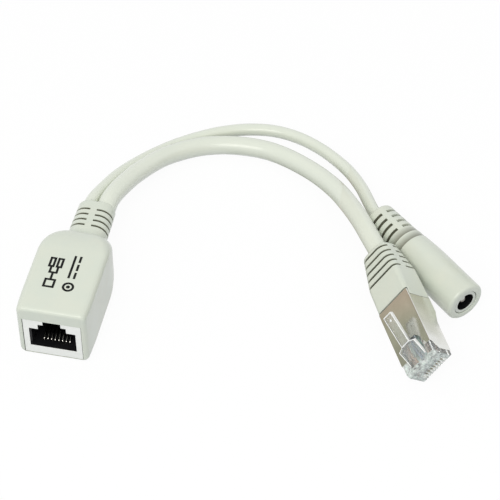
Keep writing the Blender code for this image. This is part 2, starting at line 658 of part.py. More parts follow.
def build_plug_body(frame):
    half = PLUG_WIDTH / 2
    top = PLUG_NOSE_HEIGHT / 2
    chamfer = PLUG_NOSE_EDGE
    profile = side_profile(0.0, PLUG_LENGTH, top)
    profile[0] = (chamfer, profile[0][1])
    profile[-1] = (chamfer * 2, top)
    profile += [(0.0, top - chamfer * 2), (0.0, -PLUG_NOSE_HEIGHT / 2 + chamfer)]
    body = add_piece("plug_body", prism(profile, "x", -half, half), CLEAR, frame)
    slots = bmesh.new()
    channels = bmesh.new()
    for number in range(1, CONTACTS + 1):
        x = contact_x(number)
        add_prism(slots, box_outline(x - BLADE_SLOT_WIDTH / 2, x + BLADE_SLOT_WIDTH / 2, -5 * MM,
                                     -PLUG_NOSE_HEIGHT / 2 + BLADE_SLOT_DEPTH),
                  "y", -1 * MM, BLADE_SLOT_LENGTH)
    low = -PLUG_NOSE_HEIGHT / 2 + WIRE_CHANNEL_FLOOR
    span = CONTACTS * CONTACT_PITCH / 2
    add_prism(channels, box_outline(-span, span, low, low + WIRE_CHANNEL_HEIGHT), "y",
              1.2 * MM, CORD_CHAMBER_FRONT + 1 * MM)
    chamber = rounded_outline(CORD_CHAMBER_WIDTH / 2, CORD_CHAMBER_HEIGHT / 2,
                              CORD_CHAMBER_CORNER, BOOT_CABLE_Z)
    combine(body, add_piece("blade_cutter", slots, CLEAR, frame))
    combine(body, add_piece("channel_cutter", channels, CLEAR, frame))
    combine(body, add_piece("chamber_cutter", prism(chamber, "y", CORD_CHAMBER_FRONT,
                                                    PLUG_LENGTH + 1 * MM), CLEAR, frame))
    combine(body, build_latch(frame), "UNION")
    return body


def build_latch(frame):
    """Sprung latch: wide root at the nose, shoulders, then a narrow finger over the shield."""
    top = PLUG_NOSE_HEIGHT / 2
    root = (LATCH_ROOT, top - LATCH_THICKNESS * 0.75)
    shoulder = (LATCH_SHOULDER, top + LATCH_SHOULDER_LIFT)
    end = (LATCH_END, top + LATCH_END_LIFT)
    path = [root, (LATCH_ROOT + 0.9 * MM, top - 0.2 * MM), shoulder]
    path += [((shoulder[0] * (1 - t) + end[0] * t), shoulder[1] * (1 - t) + end[1] * t) for t in (0.5, 1.0)]
    half_thickness = LATCH_THICKNESS / 2
    bm = bmesh.new()
    rows = []
    widths = [LATCH_WIDE, LATCH_WIDE, LATCH_WIDE, LATCH_NARROW, LATCH_NARROW * 0.97]
    stations = path[:3] + [(shoulder[0] + 0.5 * MM, shoulder[1] + 0.1 * MM)] + path[4:]
    for index, (y, z) in enumerate(stations):
        before = Vector(stations[max(index - 1, 0)])
        after = Vector(stations[min(index + 1, len(stations) - 1)])
        along = (after - before).normalized()
        normal = Vector((-along.y, along.x)) * half_thickness
        half = widths[index] / 2
        rows.append([bm.verts.new(p) for p in (
            (-half, y - normal.x, z - normal.y), (half, y - normal.x, z - normal.y),
            (half, y + normal.x, z + normal.y), (-half, y + normal.x, z + normal.y))])
    for near, far in zip(rows, rows[1:]):
        for index in range(4):
            after = (index + 1) % 4
            bm.faces.new((near[index], near[after], far[after], far[index]))
    bm.faces.new(rows[0])
    bm.faces.new(rows[-1])
    return add_piece("latch_form", bm, CLEAR, frame)


def build_plug_shield(frame):
    """Folded shell: open at the nose, cut back round the latch and the blades."""
    gap = SHIELD_CLEARANCE
    inner = PLUG_WIDTH / 2 + gap
    outer = inner + SHIELD_THICKNESS
    top = PLUG_NOSE_HEIGHT / 2
    rear = BOOT_FRONT + SHIELD_IN_BOOT
    outside = side_profile(SHIELD_SIDE_FRONT, rear, top + gap + SHIELD_THICKNESS, gap + SHIELD_THICKNESS)
    inside = side_profile(-1 * MM, rear + 1 * MM, top + gap, gap)
    shield = add_piece("plug_shield", prism(outside, "x", -outer, outer), NICKEL, frame)
    bevel = shield.modifiers.new("fold", "BEVEL")
    bevel.width = SHIELD_FOLD
    bevel.segments = 2
    bevel.limit_method = "ANGLE"
    bevel.angle_limit = math.radians(60)
    bpy.context.view_layer.objects.active = shield
    with bpy.context.temp_override(object=shield, active_object=shield, selected_objects=[shield]):
        bpy.ops.object.modifier_apply(modifier=bevel.name)
    combine(shield, add_piece("shell_cutter", prism(inside, "x", -inner, inner), NICKEL, frame))
    wide = outer + 1 * MM
    far = top + 2 * MM
    nose_trim = [(-2 * MM, top - SHIELD_SIDE_CORNER), (SHIELD_SIDE_FRONT, top - SHIELD_SIDE_CORNER),
                 (SHIELD_TOP_FRONT, top - 0.4 * MM), (SHIELD_TOP_FRONT, far), (-2 * MM, far)]
    combine(shield, add_piece("nose_cutter", prism(nose_trim, "x", -wide, wide), NICKEL, frame))
    half_window = SHIELD_WINDOW_WIDTH / 2
    window = [(-half_window, 0.0), (half_window, 0.0), (half_window, SHIELD_WINDOW_REAR - 2 * MM),
              (half_window - 1.6 * MM, SHIELD_WINDOW_REAR), (-half_window + 1.6 * MM, SHIELD_WINDOW_REAR),
              (-half_window, SHIELD_WINDOW_REAR - 2 * MM)]
    combine(shield, add_piece("window_cutter", prism(window, "z", top - 0.5 * MM, far), NICKEL, frame))
    belly = box_outline(-inner + 0.4 * MM, inner - 0.4 * MM, -1 * MM, SHIELD_BELLY_FRONT)
    opening = prism(belly, "z", -far - 3 * MM, -top + 0.5 * MM)
    combine(shield, add_piece("belly_cutter", opening, NICKEL, frame))
    return shield


def build_blades(frame):
    """Flat contact blades, each with the two teeth that pierce its conductor."""
    low = -PLUG_NOSE_HEIGHT / 2 + BLADE_RECESS
    high = low + BLADE_HEIGHT
    front, rear = BLADE_FRONT, BLADE_FRONT + BLADE_LENGTH
    notch = 0.7 * MM
    outline = [(front + notch, low), (rear, low), (rear, high), (rear - 1.2 * MM, high),
               (rear - 2.0 * MM, high - notch), (rear - 3.2 * MM, high - notch), (rear - 3.9 * MM, high),
               (front, high), (front, low + notch)]
    for number in range(1, CONTACTS + 1):
        x = contact_x(number)
        blade = prism(outline, "x", x - BLADE_THICKNESS / 2, x + BLADE_THICKNESS / 2)
        add_piece(f"plug_contact_{number}", blade, GOLD, frame)


def build_plug_wires(frame):
    """Eight conductors in the nose channels, which gather into the cable's round bundle."""
    to_world = frame_matrix(frame)
    channel_z = -PLUG_NOSE_HEIGHT / 2 + WIRE_CHANNEL_FLOOR + WIRE_CHANNEL_HEIGHT / 2
    bundle = PLUG_BUNDLE_RADIUS
    for number in range(1, CONTACTS + 1):
        angle = math.radians(157.5 - 45 * ((number - 1) // 2))
        side = 1 if number % 2 else -1
        x, z = bundle * math.cos(angle), BOOT_CABLE_Z + side * bundle * math.sin(angle)
        start_x = contact_x(number)
        gather = CORD_CHAMBER_FRONT + PLUG_BUNDLE_START
        route = [(start_x, 1.6 * MM, channel_z), (start_x, 5 * MM, channel_z),
                 (start_x, gather - 9 * MM, channel_z),
                 (start_x * 0.85 + x * 0.15, gather - 6 * MM, BOOT_CABLE_Z + side * 0.9 * MM),
                 (start_x * 0.35 + x * 0.65, gather - 3 * MM, z + side * 0.3 * MM),
                 (x, gather, z), (x, BOOT_FRONT + WIRE_STRAIGHT, z), (x, BOOT_FRONT + BOOT_LENGTH, z)]
        route = [to_world @ Vector(point) for point in route]
        tube(f"plug_wire_{number}", smooth_route(route, CABLE_STEP), PLUG_WIRE_DIAMETER,
             WIRE_SURFACES[PAIR_ORDER[number - 1]], 1)


def boot_outline(along):
    """Section of the boot at a distance from its front: square at the plug, oval at the cable."""
    u = max(0.0, (along - BOOT_STRAIGHT) / (BOOT_LENGTH - BOOT_STRAIGHT))
    half_width = BOOT_WIDTH / 2 * (1 - u) + BOOT_REAR_WIDTH / 2 * u
    front_height = (BOOT_TOP + BOOT_BELLY) / 2
    half_height = front_height * (1 - u) + BOOT_REAR_HEIGHT / 2 * u
    centre_z = (BOOT_TOP - BOOT_BELLY) / 2 * (1 - u) + BOOT_CABLE_Z * u
    radius = (0.9 + 0.6 * min(1.0, along / BOOT_STRAIGHT)) * MM * (1 - u) + BOOT_REAR_HEIGHT * 0.42 * u
    return half_width, half_height, radius, centre_z


def boot_ring(along, inset=0.0):
    half_width, half_height, radius, centre_z = boot_outline(along)
    return rounded_outline(half_width - inset, half_height - inset, max(radius - inset, 0.2 * MM), centre_z)


def build_boot(frame):
    rings = [section_ring(boot_ring(0.0, 0.15 * MM), BOOT_FRONT),
             section_ring(boot_ring(0.0), BOOT_FRONT + 0.15 * MM)]
    tail = BOOT_LENGTH - BOOT_STRAIGHT
    stations = [BOOT_STRAIGHT * share for share in (1 / 3, 2 / 3, 1)]
    stations += [BOOT_STRAIGHT + tail * share for share in (0.3, 0.6, 0.875)]
    for along in stations:
        rings.append(section_ring(boot_ring(along), BOOT_FRONT + along))
    edge = BOOT_END_EDGE
    for inset, back in ((0.0, edge), (edge * 0.3, edge * 0.3), (edge, 0.0)):
        rings.append(section_ring(boot_ring(BOOT_LENGTH - back, inset), BOOT_FRONT + BOOT_LENGTH - back))
    boot = add_piece("plug_boot", loft(rings), SLEEVE, frame)
    gap = SHIELD_CLEARANCE
    half = PLUG_WIDTH / 2 + gap + SHIELD_THICKNESS + 0.05 * MM
    top = PLUG_NOSE_HEIGHT / 2 + gap + SHIELD_THICKNESS + 0.05 * MM
    belly = plug_belly(BOOT_FRONT) + gap + SHIELD_THICKNESS + 0.05 * MM
    pocket = prism(box_outline(-half, half, -belly, top), "y", BOOT_FRONT - 1 * MM,
                   BOOT_FRONT + SHIELD_IN_BOOT + GAP)
    combine(boot, add_piece("pocket_cutter", pocket, SLEEVE, frame))
    hole = cylinder_bm(BOOT_BORE / 2, BOOT_FRONT + 1 * MM, BOOT_FRONT + BOOT_LENGTH + 1 * MM,
                       0.0, BOOT_CABLE_Z, 20)
    combine(boot, add_piece("bore_cutter", hole, SLEEVE, frame))
    slots = bmesh.new()
    for row in range(BOOT_SLOT_ROWS):
        along = BOOT_FIRST_SLOT + row * BOOT_SLOT_PITCH
        slot_pair(slots, boot_ring(along), BOOT_FRONT + along, SLOT_WIDTH, SLOT_DEPTH, BOOT_RIB_WIDTH, "x",
                  BOOT_RIB_RISE)
    combine(boot, add_piece("slot_cutter", slots, SLEEVE, frame))
    boot.data.shade_smooth()
    boot.data.set_sharp_from_angle(angle=math.radians(35))
    return boot


# DC barrel socket: turned overmoulding, sleeve, centre pin and side spring.

def build_power_socket(frame):
    edge = SOCKET_FACE_EDGE
    face = SOCKET_INSERT_RADIUS + POCKET_GAP
    profile = [(0.0, 0.0)]
    for step in range(5):
        angle = math.radians(22.5 * step)
        profile.append((SOCKET_RADIUS - edge * (1 - math.sin(angle)), edge * (1 - math.cos(angle))))
    profile += [(SOCKET_RADIUS, SOCKET_SHOULDER * 0.8), (SOCKET_RADIUS - SOCKET_SHOULDER_DROP, SOCKET_SHOULDER)]
    neck = SOCKET_NECK_RADIUS + 2 * SOCKET_STEP_RISE
    profile += [(neck, SOCKET_STEP_B), (neck - SOCKET_STEP_RISE, SOCKET_STEP_B + 0.12 * MM)]
    profile += [(neck - SOCKET_STEP_RISE, SOCKET_STEP_A), (SOCKET_NECK_RADIUS, SOCKET_STEP_A + 0.12 * MM)]
    profile += [(SOCKET_REAR_RADIUS + 0.1 * MM, SOCKET_LENGTH - 0.8 * MM),
                (SOCKET_REAR_RADIUS - 0.15 * MM, SOCKET_LENGTH - 0.2 * MM),
                (SOCKET_REAR_RADIUS - 0.7 * MM, SOCKET_LENGTH), (0.0, SOCKET_LENGTH)]
    body = add_piece("power_socket_body", turned(profile), SLEEVE, frame)
    pocket = cylinder_bm(face, -1 * MM, SOCKET_INSERT_LENGTH + SOCKET_TERMINAL_SPACE, steps=32)
    combine(body, add_piece("pocket_cutter", pocket, SLEEVE, frame))
    chamber = cylinder_bm(SOCKET_CHAMBER_RADIUS, SOCKET_INSERT_LENGTH + 1 * MM,
                          SOCKET_INSERT_LENGTH + SOCKET_CHAMBER_END, steps=20)
    combine(body, add_piece("chamber_cutter", chamber, SLEEVE, frame))
    bore = cylinder_bm(POWER_BORE / 2, SOCKET_INSERT_LENGTH + SOCKET_CHAMBER_END - 1 * MM,
                       SOCKET_LENGTH + 1 * MM, steps=20)
    combine(body, add_piece("bore_cutter", bore, SLEEVE, frame))
    slots = bmesh.new()
    for row in range(SOCKET_SLOT_ROWS):
        y = SOCKET_LAST_SLOT - row * SOCKET_SLOT_PITCH
        share = (y - SOCKET_STEP_A) / (SOCKET_LENGTH - SOCKET_STEP_A)
        radius = SOCKET_NECK_RADIUS * (1 - share) + SOCKET_REAR_RADIUS * share
        outline = rounded_outline(radius, radius, radius)
        slot_pair(slots, outline, y, SOCKET_SLOT_WIDTH, SLOT_DEPTH, SOCKET_RIB_WIDTH, "z")
    combine(body, add_piece("slot_cutter", slots, SLEEVE, frame))
    body.data.shade_smooth()
    body.data.set_sharp_from_angle(angle=math.radians(35))

    front = SOCKET_INSERT_RECESS
    rear = SOCKET_INSERT_LENGTH
    lip = SOCKET_HOLE_LIP
    sleeve = [(SOCKET_HOLE_RADIUS + lip, front), (SOCKET_INSERT_RADIUS, front), (SOCKET_INSERT_RADIUS, rear),
              (SOCKET_PIN_RADIUS + POCKET_GAP, rear), (SOCKET_PIN_RADIUS + POCKET_GAP, SOCKET_HOLE_DEPTH),
              (SOCKET_HOLE_RADIUS, SOCKET_HOLE_DEPTH), (SOCKET_HOLE_RADIUS, front + lip),
              (SOCKET_HOLE_RADIUS + lip, front)]
    shell = turned(sleeve, 32)
    bmesh.ops.remove_doubles(shell, verts=shell.verts, dist=1e-7)
    insert = add_piece("power_socket_insert", shell, JACK_WHITE, frame, 35)
    half = SOCKET_SPRING_WIDTH / 2 + POCKET_GAP
    seat = prism(box_outline(-half, half, SOCKET_HOLE_RADIUS - 0.3 * MM, SOCKET_HOLE_RADIUS + SOCKET_SPRING_SEAT),
                 "y", 3.0 * MM, SOCKET_INSERT_LENGTH + 1 * MM)
    combine(insert, add_piece("seat_cutter", seat, JACK_WHITE, frame))
    combine(insert, add_piece("seat_cutter", prism(
        box_outline(-half, half, SOCKET_HOLE_RADIUS - 1.2 * MM, SOCKET_HOLE_RADIUS + SOCKET_SPRING_SEAT), "y",
        SOCKET_HOLE_DEPTH + 1.5 * MM, SOCKET_INSERT_LENGTH + 1 * MM), JACK_WHITE, frame))

    tip = 0.35 * MM
    pin = [(0.0, SOCKET_PIN_FRONT), (SOCKET_PIN_RADIUS - tip, SOCKET_PIN_FRONT),
           (SOCKET_PIN_RADIUS, SOCKET_PIN_FRONT + tip), (SOCKET_PIN_RADIUS, SOCKET_PIN_TAIL - 2 * MM),
           (SOCKET_PIN_RADIUS * 0.7, SOCKET_PIN_TAIL - 1.9 * MM), (SOCKET_PIN_RADIUS * 0.7, SOCKET_PIN_TAIL),
           (0.0, SOCKET_PIN_TAIL)]
    add_piece("power_socket_pin", turned(pin, 20), NICKEL, frame, 35)

    wall = SOCKET_HOLE_RADIUS + SOCKET_SPRING_REST
    path = [(3.5 * MM, wall), (5.5 * MM, wall - 0.15 * MM), (7.2 * MM, wall - 0.95 * MM),
            (8.6 * MM, wall - 0.3 * MM), (10.0 * MM, wall), (13.3 * MM, wall - 0.15 * MM),
            (14.7 * MM, wall - 1.5 * MM), (16.4 * MM, wall - 1.8 * MM)]
    spring = prism(ribbon_outline(path, SOCKET_SPRING_THICKNESS), "x",
                   -SOCKET_SPRING_WIDTH / 2, SOCKET_SPRING_WIDTH / 2)
    add_piece("power_socket_spring", spring, NICKEL, frame)

    to_world = frame_matrix(frame)
    for name, start, sz, colour in (("positive", (SOCKET_PIN_TAIL + GAP, 0.0), -1, "red"),
                                    ("negative", (16.4 * MM + GAP, wall - 1.8 * MM), 1, "black")):
        z = sz * LEAD_SPREAD
        route = [(0.0, start[0], start[1]), (0.0, start[0] + 1.2 * MM, start[1] * 0.7 + z * 0.3),
                 (0.0, 19.5 * MM, z), (0.0, 28 * MM, z), (0.0, SOCKET_LENGTH, z)]
        route = [to_world @ Vector(point) for point in route]
        tube("power_socket_lead_" + name, smooth_route(route, CABLE_STEP), LEAD_DIAMETER, WIRE_SURFACES[colour], 1)


# Cables: hand-chosen route points in millimetres, from the neck to the far ends.

DATA_ROUTE = [(2.6, 28.5, 9.0), (4.1, 34.6, 8.2), (6.8, 42.6, 6.5), (11.2, 51.0, 4.7), (15.9, 56.4, 3.5),
              (21.9, 60.5, 2.9), (29.3, 62.7, 2.76), (37.5, 63.1, 2.76), (44.3, 61.9, 2.76),
              (51.2, 58.6, 3.3), (58.2, 53.4, 4.6), (64.1, 47.1, 6.4), (68.8, 40.6, 8.0),
              (73.1, 34.3, 8.8), (76.6, 28.8, 8.9)]
POWER_ROUTE = [(-2.3, 27.9, 8.6), (-1.25, 33.1, 7.3), (1.2, 42.0, 5.0), (5.1, 50.1, 3.1), (10.1, 57.0, 2.05),
               (15.2, 61.8, 1.82), (20.9, 65.8, 1.82), (26.3, 68.8, 1.82), (33.3, 71.3, 1.82),
               (41.1, 72.2, 1.82), (48.7, 70.8, 1.82), (55.5, 67.3, 2.2), (61.4, 62.6, 2.9),
               (66.4, 57.4, 3.7), (70.6, 51.1, 4.7), (73.8, 44.95, 5.46), (75.3, 42.25, 5.68)]


def build_cables(plug, socket):
    neck_end = FACE_Y + HOUSING_LENGTH + GAP
    plug_entry = frame_matrix(plug) @ Vector((0.0, BOOT_FRONT + BOOT_LENGTH + GAP, BOOT_CABLE_Z))
    socket_entry = frame_matrix(socket) @ Vector((0.0, SOCKET_LENGTH + GAP, 0.0))
    data = [Vector((DATA_OFFSET, neck_end, MID_HEIGHT))]
    data += [Vector(point) * MM for point in DATA_ROUTE] + [plug_entry]
    power = [Vector((POWER_OFFSET, neck_end, MID_HEIGHT))]
    power += [Vector(point) * MM for point in POWER_ROUTE] + [socket_entry]
    tube("data_cable", smooth_route(data, CABLE_STEP), DATA_DIAMETER, SLEEVE, 3)
    tube("power_cable", smooth_route(power, CABLE_STEP), POWER_DIAMETER, SLEEVE, 2)


plug_frame = frame_empty("plug_frame", PLUG_NOSE, PLUG_YAW, PLUG_PITCH, PLUG_ROLL)
socket_frame = frame_empty("socket_frame", SOCKET_FACE, SOCKET_YAW)
build_housing()
build_insert()
build_carrier()
build_jack_contacts()
build_housing_wires()
build_plug_body(plug_frame)
build_plug_shield(plug_frame)
build_blades(plug_frame)
build_plug_wires(plug_frame)
build_boot(plug_frame)
build_power_socket(socket_frame)
build_cables(plug_frame, socket_frame)
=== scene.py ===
"""Looks of the power over ethernet injector lead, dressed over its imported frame."""

import math

import bmesh
import bpy
from mathutils import Euler, Matrix, Vector


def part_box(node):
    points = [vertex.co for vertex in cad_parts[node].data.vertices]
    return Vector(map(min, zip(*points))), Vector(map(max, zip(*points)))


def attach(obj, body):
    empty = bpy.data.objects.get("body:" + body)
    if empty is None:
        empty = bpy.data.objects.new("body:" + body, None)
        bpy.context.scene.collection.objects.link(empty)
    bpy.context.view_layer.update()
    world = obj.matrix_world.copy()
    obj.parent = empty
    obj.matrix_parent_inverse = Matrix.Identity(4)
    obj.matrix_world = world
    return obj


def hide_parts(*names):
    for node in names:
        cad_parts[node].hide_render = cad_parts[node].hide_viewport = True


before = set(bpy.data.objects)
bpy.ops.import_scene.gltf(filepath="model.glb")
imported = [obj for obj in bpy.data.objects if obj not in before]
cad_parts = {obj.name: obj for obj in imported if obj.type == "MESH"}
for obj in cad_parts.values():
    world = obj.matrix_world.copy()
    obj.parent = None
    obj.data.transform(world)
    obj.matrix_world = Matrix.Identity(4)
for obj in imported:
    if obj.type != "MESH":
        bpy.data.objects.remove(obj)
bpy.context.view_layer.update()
bpy.ops.object.select_all(action="DESELECT")
MM = 0.001


# The photographer's place
# A long lens looks down at the lead from the front and a little from the right, at 47 degrees.
# The whole lead fills about nine tenths of the picture's width.

CAMERA_ELEVATION = math.radians(47.064)
CAMERA_AZIMUTH = math.radians(-11.6617)
CAMERA_DISTANCE = 562.44 * MM
CAMERA_TARGET = Vector((43.343, 25.283, 0.0)) * MM

camera_turn = Euler((math.pi / 2 - CAMERA_ELEVATION, 0.0, -CAMERA_AZIMUTH))
camera_back = camera_turn.to_matrix() @ Vector((0.0, 0.0, CAMERA_DISTANCE))
bpy.ops.object.camera_add(location=CAMERA_TARGET + camera_back, rotation=camera_turn)
camera = bpy.context.object
camera.name = "photo_camera"
camera.data.lens = 144
camera.data.sensor_width = 36
camera.data.clip_start = 10 * MM
bpy.context.scene.camera = camera


# Cables
# Two round cables leave the housing side by side: the thick one carries the data, the thin one the power.
# Each is conductors in an extruded jacket of soft PVC, and lies on the table in one loose bend.

DATA_DIAMETER = 5.5 * MM
POWER_DIAMETER = 3.6 * MM
DATA_ROUTE = [(2.25, 24.0, 9.0), (2.6, 28.5, 9.0), (4.1, 34.6, 8.2), (6.8, 42.6, 6.5), (11.2, 51.0, 4.7),
              (15.9, 56.4, 3.5), (21.9, 60.5, 2.9), (29.3, 62.7, 2.76), (37.5, 63.1, 2.76),
              (44.3, 61.9, 2.76), (51.2, 58.6, 3.3), (58.2, 53.4, 4.6), (64.1, 47.1, 6.4),
              (68.8, 40.6, 8.0), (73.1, 34.3, 8.8), (76.6, 28.8, 8.9), (79.994, 23.642, 8.591)]
POWER_ROUTE = [(-2.75, 24.0, 9.0), (-2.3, 27.9, 8.6), (-1.25, 33.1, 7.3), (1.2, 42.0, 5.0), (5.1, 50.1, 3.1),
               (10.1, 57.0, 2.05), (15.2, 61.8, 1.82), (20.9, 65.8, 1.82), (26.3, 68.8, 1.82),
               (33.3, 71.3, 1.82), (41.1, 72.2, 1.82), (48.7, 70.8, 1.82), (55.5, 67.3, 2.2),
               (61.4, 62.6, 2.9), (66.4, 57.4, 3.7), (70.6, 51.1, 4.7), (73.8, 44.95, 5.46),
               (75.3, 42.25, 5.68), (77.093, 39.752, 5.82)]
PVC = (0.745, 0.780, 0.675)
PVC_WARM = (0.765, 0.795, 0.690)


def effect_group(name, inputs, outputs):
    """A shader node group with named float, colour and vector sockets; returns its tree and both ends."""
    tree = bpy.data.node_groups.new(name, "ShaderNodeTree")
    kinds = {"F": "NodeSocketFloat", "C": "NodeSocketColor", "V": "NodeSocketVector"}
    for end, sockets in (("INPUT", inputs), ("OUTPUT", outputs)):
        for label, kind in sockets:
            tree.interface.new_socket(name=label, in_out=end, socket_type=kinds[kind])
    return tree, tree.nodes.new("NodeGroupInput"), tree.nodes.new("NodeGroupOutput")


def feed(tree, socket, source):
    """Link an input to another node's output, or set it to a value."""
    if hasattr(source, "is_output"):
        tree.links.new(source, socket)
    else:
        socket.default_value = source


def noise_node(tree, place, size, detail=2.0, roughness=0.5):
    """Noise with features of a size in metres, or with its scale from an output, read at a place."""
    noise = tree.nodes.new("ShaderNodeTexNoise")
    tree.links.new(place, noise.inputs["Vector"])
    noise.inputs["Detail"].default_value = detail
    noise.inputs["Roughness"].default_value = roughness
    feed(tree, noise.inputs["Scale"], 1.0 / size if isinstance(size, float) else size)
    return noise.outputs["Fac"]


def remap(tree, value, low, high, to_low=0.0, to_high=1.0):
    """Turn the range from low to high into the range from to_low to to_high."""
    stretch = tree.nodes.new("ShaderNodeMapRange")
    for label, end in (("From Min", low), ("From Max", high), ("To Min", to_low), ("To Max", to_high)):
        feed(tree, stretch.inputs[label], end)
    tree.links.new(value, stretch.inputs["Value"])
    return stretch.outputs["Result"]


def spread(tree, noise, low, high):
    """Stretch the middle of a noise value, where most of it lies, over a range from low to high."""
    return remap(tree, noise, 0.3, 0.7, low, high)


def blend_colours(tree, share, first, second):
    """The first colour where the share is 0, the second where it is 1."""
    mix = tree.nodes.new("ShaderNodeMix")
    mix.data_type = "RGBA"
    for socket, source in ((mix.inputs[0], share), (mix.inputs[6], first), (mix.inputs[7], second)):
        feed(tree, socket, source)
    return mix.outputs[2]


def build_skin(name, patch_detail, patch_roughness, grain_detail, grain_roughness=0.6):
    """A finish: slow patches of a second colour, a fine grain for the bump and an uneven gloss."""
    tree, given, result = effect_group(
        name,
        [("Place", "V"), ("Colour", "C"), ("Second Colour", "C"), ("Patch Scale", "F"), ("Grain Scale", "F"),
         ("Low Gloss", "F"), ("High Gloss", "F")],
        [("Colour", "C"), ("Roughness", "F"), ("Height", "F")])
    place = given.outputs["Place"]
    patches = noise_node(tree, place, given.outputs["Patch Scale"], patch_detail, patch_roughness)
    grain = noise_node(tree, place, given.outputs["Grain Scale"], grain_detail, grain_roughness)
    share = spread(tree, patches, 0.0, 1.0)
    tree.links.new(blend_colours(tree, share, given.outputs["Colour"], given.outputs["Second Colour"]),
                   result.inputs["Colour"])
    tree.links.new(spread(tree, patches, given.outputs["Low Gloss"], given.outputs["High Gloss"]),
                   result.inputs["Roughness"])
    tree.links.new(grain, result.inputs["Height"])
    return tree


MOULDED_SKIN = build_skin("moulded_skin", 3.0, 0.5, 4.0)


def new_material(name):
    """A new material with nodes, its tree and its shader."""
    material = bpy.data.materials.new(name)
    material.use_nodes = True
    return material, material.node_tree, material.node_tree.nodes["Principled BSDF"]


def ripple(tree, shader, height, distance):
    """Let a height between 0 and 1 ripple a shader's surface by this distance."""
    relief = tree.nodes.new("ShaderNodeBump")
    relief.inputs["Distance"].default_value = distance
    tree.links.new(height, relief.inputs["Height"])
    tree.links.new(relief.outputs["Normal"], shader.inputs["Normal"])


def skin_material(name, finish, colour, second, patch, grain, gloss, bump, sockets):
    """A material whose colour, roughness and bump a finish drives; its other sockets are set as given."""
    material, tree, shader = new_material(name)
    for label, value in sockets.items():
        shader.inputs[label.replace("_", " ")].default_value = value
    skin = tree.nodes.new("ShaderNodeGroup")
    skin.node_tree = finish
    tree.links.new(tree.nodes.new("ShaderNodeTexCoord").outputs["Object"], skin.inputs["Place"])
    for label, value in (("Colour", (*colour, 1.0)), ("Second Colour", (*second, 1.0)), ("Patch Scale", 1 / patch),
                         ("Grain Scale", 1 / grain), ("Low Gloss", gloss[0]), ("High Gloss", gloss[1])):
        skin.inputs[label].default_value = value
    tree.links.new(skin.outputs["Colour"], shader.inputs["Base Color"])
    tree.links.new(skin.outputs["Roughness"], shader.inputs["Roughness"])
    ripple(tree, shader, skin.outputs["Height"], bump)
    return material


def moulded_material(name, colour, second, patch=6 * MM, grain=0.35 * MM, gloss=(0.40, 0.52), bump=0.012 * MM,
                     **sockets):
    """A moulded plastic, with slow patches of a second tint."""
    return skin_material(name, MOULDED_SKIN, colour, second, patch, grain, gloss, bump, sockets)


JACKET = moulded_material("pvc_jacket", PVC, PVC_WARM, grain=0.5 * MM, Coat_Weight=0.8, Coat_Roughness=0.2)


def route_curve(name, route, diameter, steps=10, roundness=8):
    """A round cord: one smooth curve through the route points, given in millimetres."""
    points = [Vector(point) * MM for point in route]
    bpy.ops.curve.primitive_bezier_curve_add()
    cord = bpy.context.object
    cord.name = name
    spline = cord.data.splines[0]
    spline.bezier_points.add(len(points) - len(spline.bezier_points))
    for index, knot in enumerate(spline.bezier_points):
        before = points[index - 1] if index else 2 * points[0] - points[1]
        after = points[index + 1] if index < len(points) - 1 else 2 * points[-1] - points[-2]
        reach = (after - before) / 6
        knot.handle_left_type = knot.handle_right_type = "FREE"
        knot.co, knot.handle_left, knot.handle_right = points[index], points[index] - reach, points[index] + reach
    cord.data.dimensions = "3D"
    cord.data.resolution_u = cord.data.render_resolution_u = steps
    cord.data.bevel_depth = diameter / 2
    cord.data.bevel_resolution = roundness
    cord.data.use_fill_caps = True
    cord.location = (0.0, 0.0, 0.0)
    return cord


def dress(piece, material, slot, *nodes):
    """Give a finished piece its material and its place on the frame."""
    piece.data.materials.clear()
    piece.data.materials.append(material)
    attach(piece, "root")
    if nodes:
        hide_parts(*nodes)


data_cable = route_curve("data_cable_jacket", DATA_ROUTE, DATA_DIAMETER)
dress(data_cable, JACKET, "soft_pvc", "data_cable")
power_cable = route_curve("power_cable_jacket", POWER_ROUTE, POWER_DIAMETER)
dress(power_cable, JACKET, "soft_pvc", "power_cable")


# Socket housing
# One overmoulding of soft PVC round the modular socket, with a domed rear and a slotted neck.
# Modelled ring by ring from the front rim, then the mould's ribs press the slots into the neck.

HOUSING_LOW, HOUSING_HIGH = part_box("socket_housing")
HOUSING_WIDTH = HOUSING_HIGH.x - HOUSING_LOW.x
HOUSING_FRONT_WIDTH = 18.9 * MM
HOUSING_HEIGHT = HOUSING_HIGH.z - HOUSING_LOW.z
HOUSING_CORNER = 1.8 * MM
HOUSING_FRONT_EDGE = 1.1 * MM
BODY_LENGTH = 23.0 * MM
SWELL_LENGTH = 8.0 * MM          # the front widens over this length
DOME_LENGTH = 10.6 * MM
DOME_POWER = 2.2                 # 2 would be a plain ellipse, and more is squarer
DOME_CORNER_GAIN = 3.4 * MM
DOME_STEPS = 20
NECK_WIDTH = 11.2 * MM
NECK_HEIGHT = 7.6 * MM
NECK_TAPER = 0.6 * MM
NECK_EDGE = 0.5 * MM
FACE_Y = HOUSING_LOW.y
NECK_END = HOUSING_HIGH.y
DOME_Y = FACE_Y + BODY_LENGTH
NECK_Y = DOME_Y + DOME_LENGTH
FIRST_NECK_SLOT = NECK_Y + 4.1 * MM
NECK_SLOT_PITCH = 2.08 * MM
NECK_SLOTS = [FIRST_NECK_SLOT + row * NECK_SLOT_PITCH for row in range(4)]
SLOT_WIDTH = 0.7 * MM
SLOT_DEPTH = 1.0 * MM
NECK_RIB = 1.9 * MM


def select_only(*pieces):
    """Select these objects and no others; the first becomes the active one."""
    bpy.ops.object.select_all(action="DESELECT")
    for piece in pieces:
        piece.select_set(True)
    bpy.context.view_layer.objects.active = pieces[0]


def settled():
    """The active object, with its place, turn and scale applied to its mesh."""
    bpy.ops.object.transform_apply(location=True, rotation=True, scale=True)
    return bpy.context.object


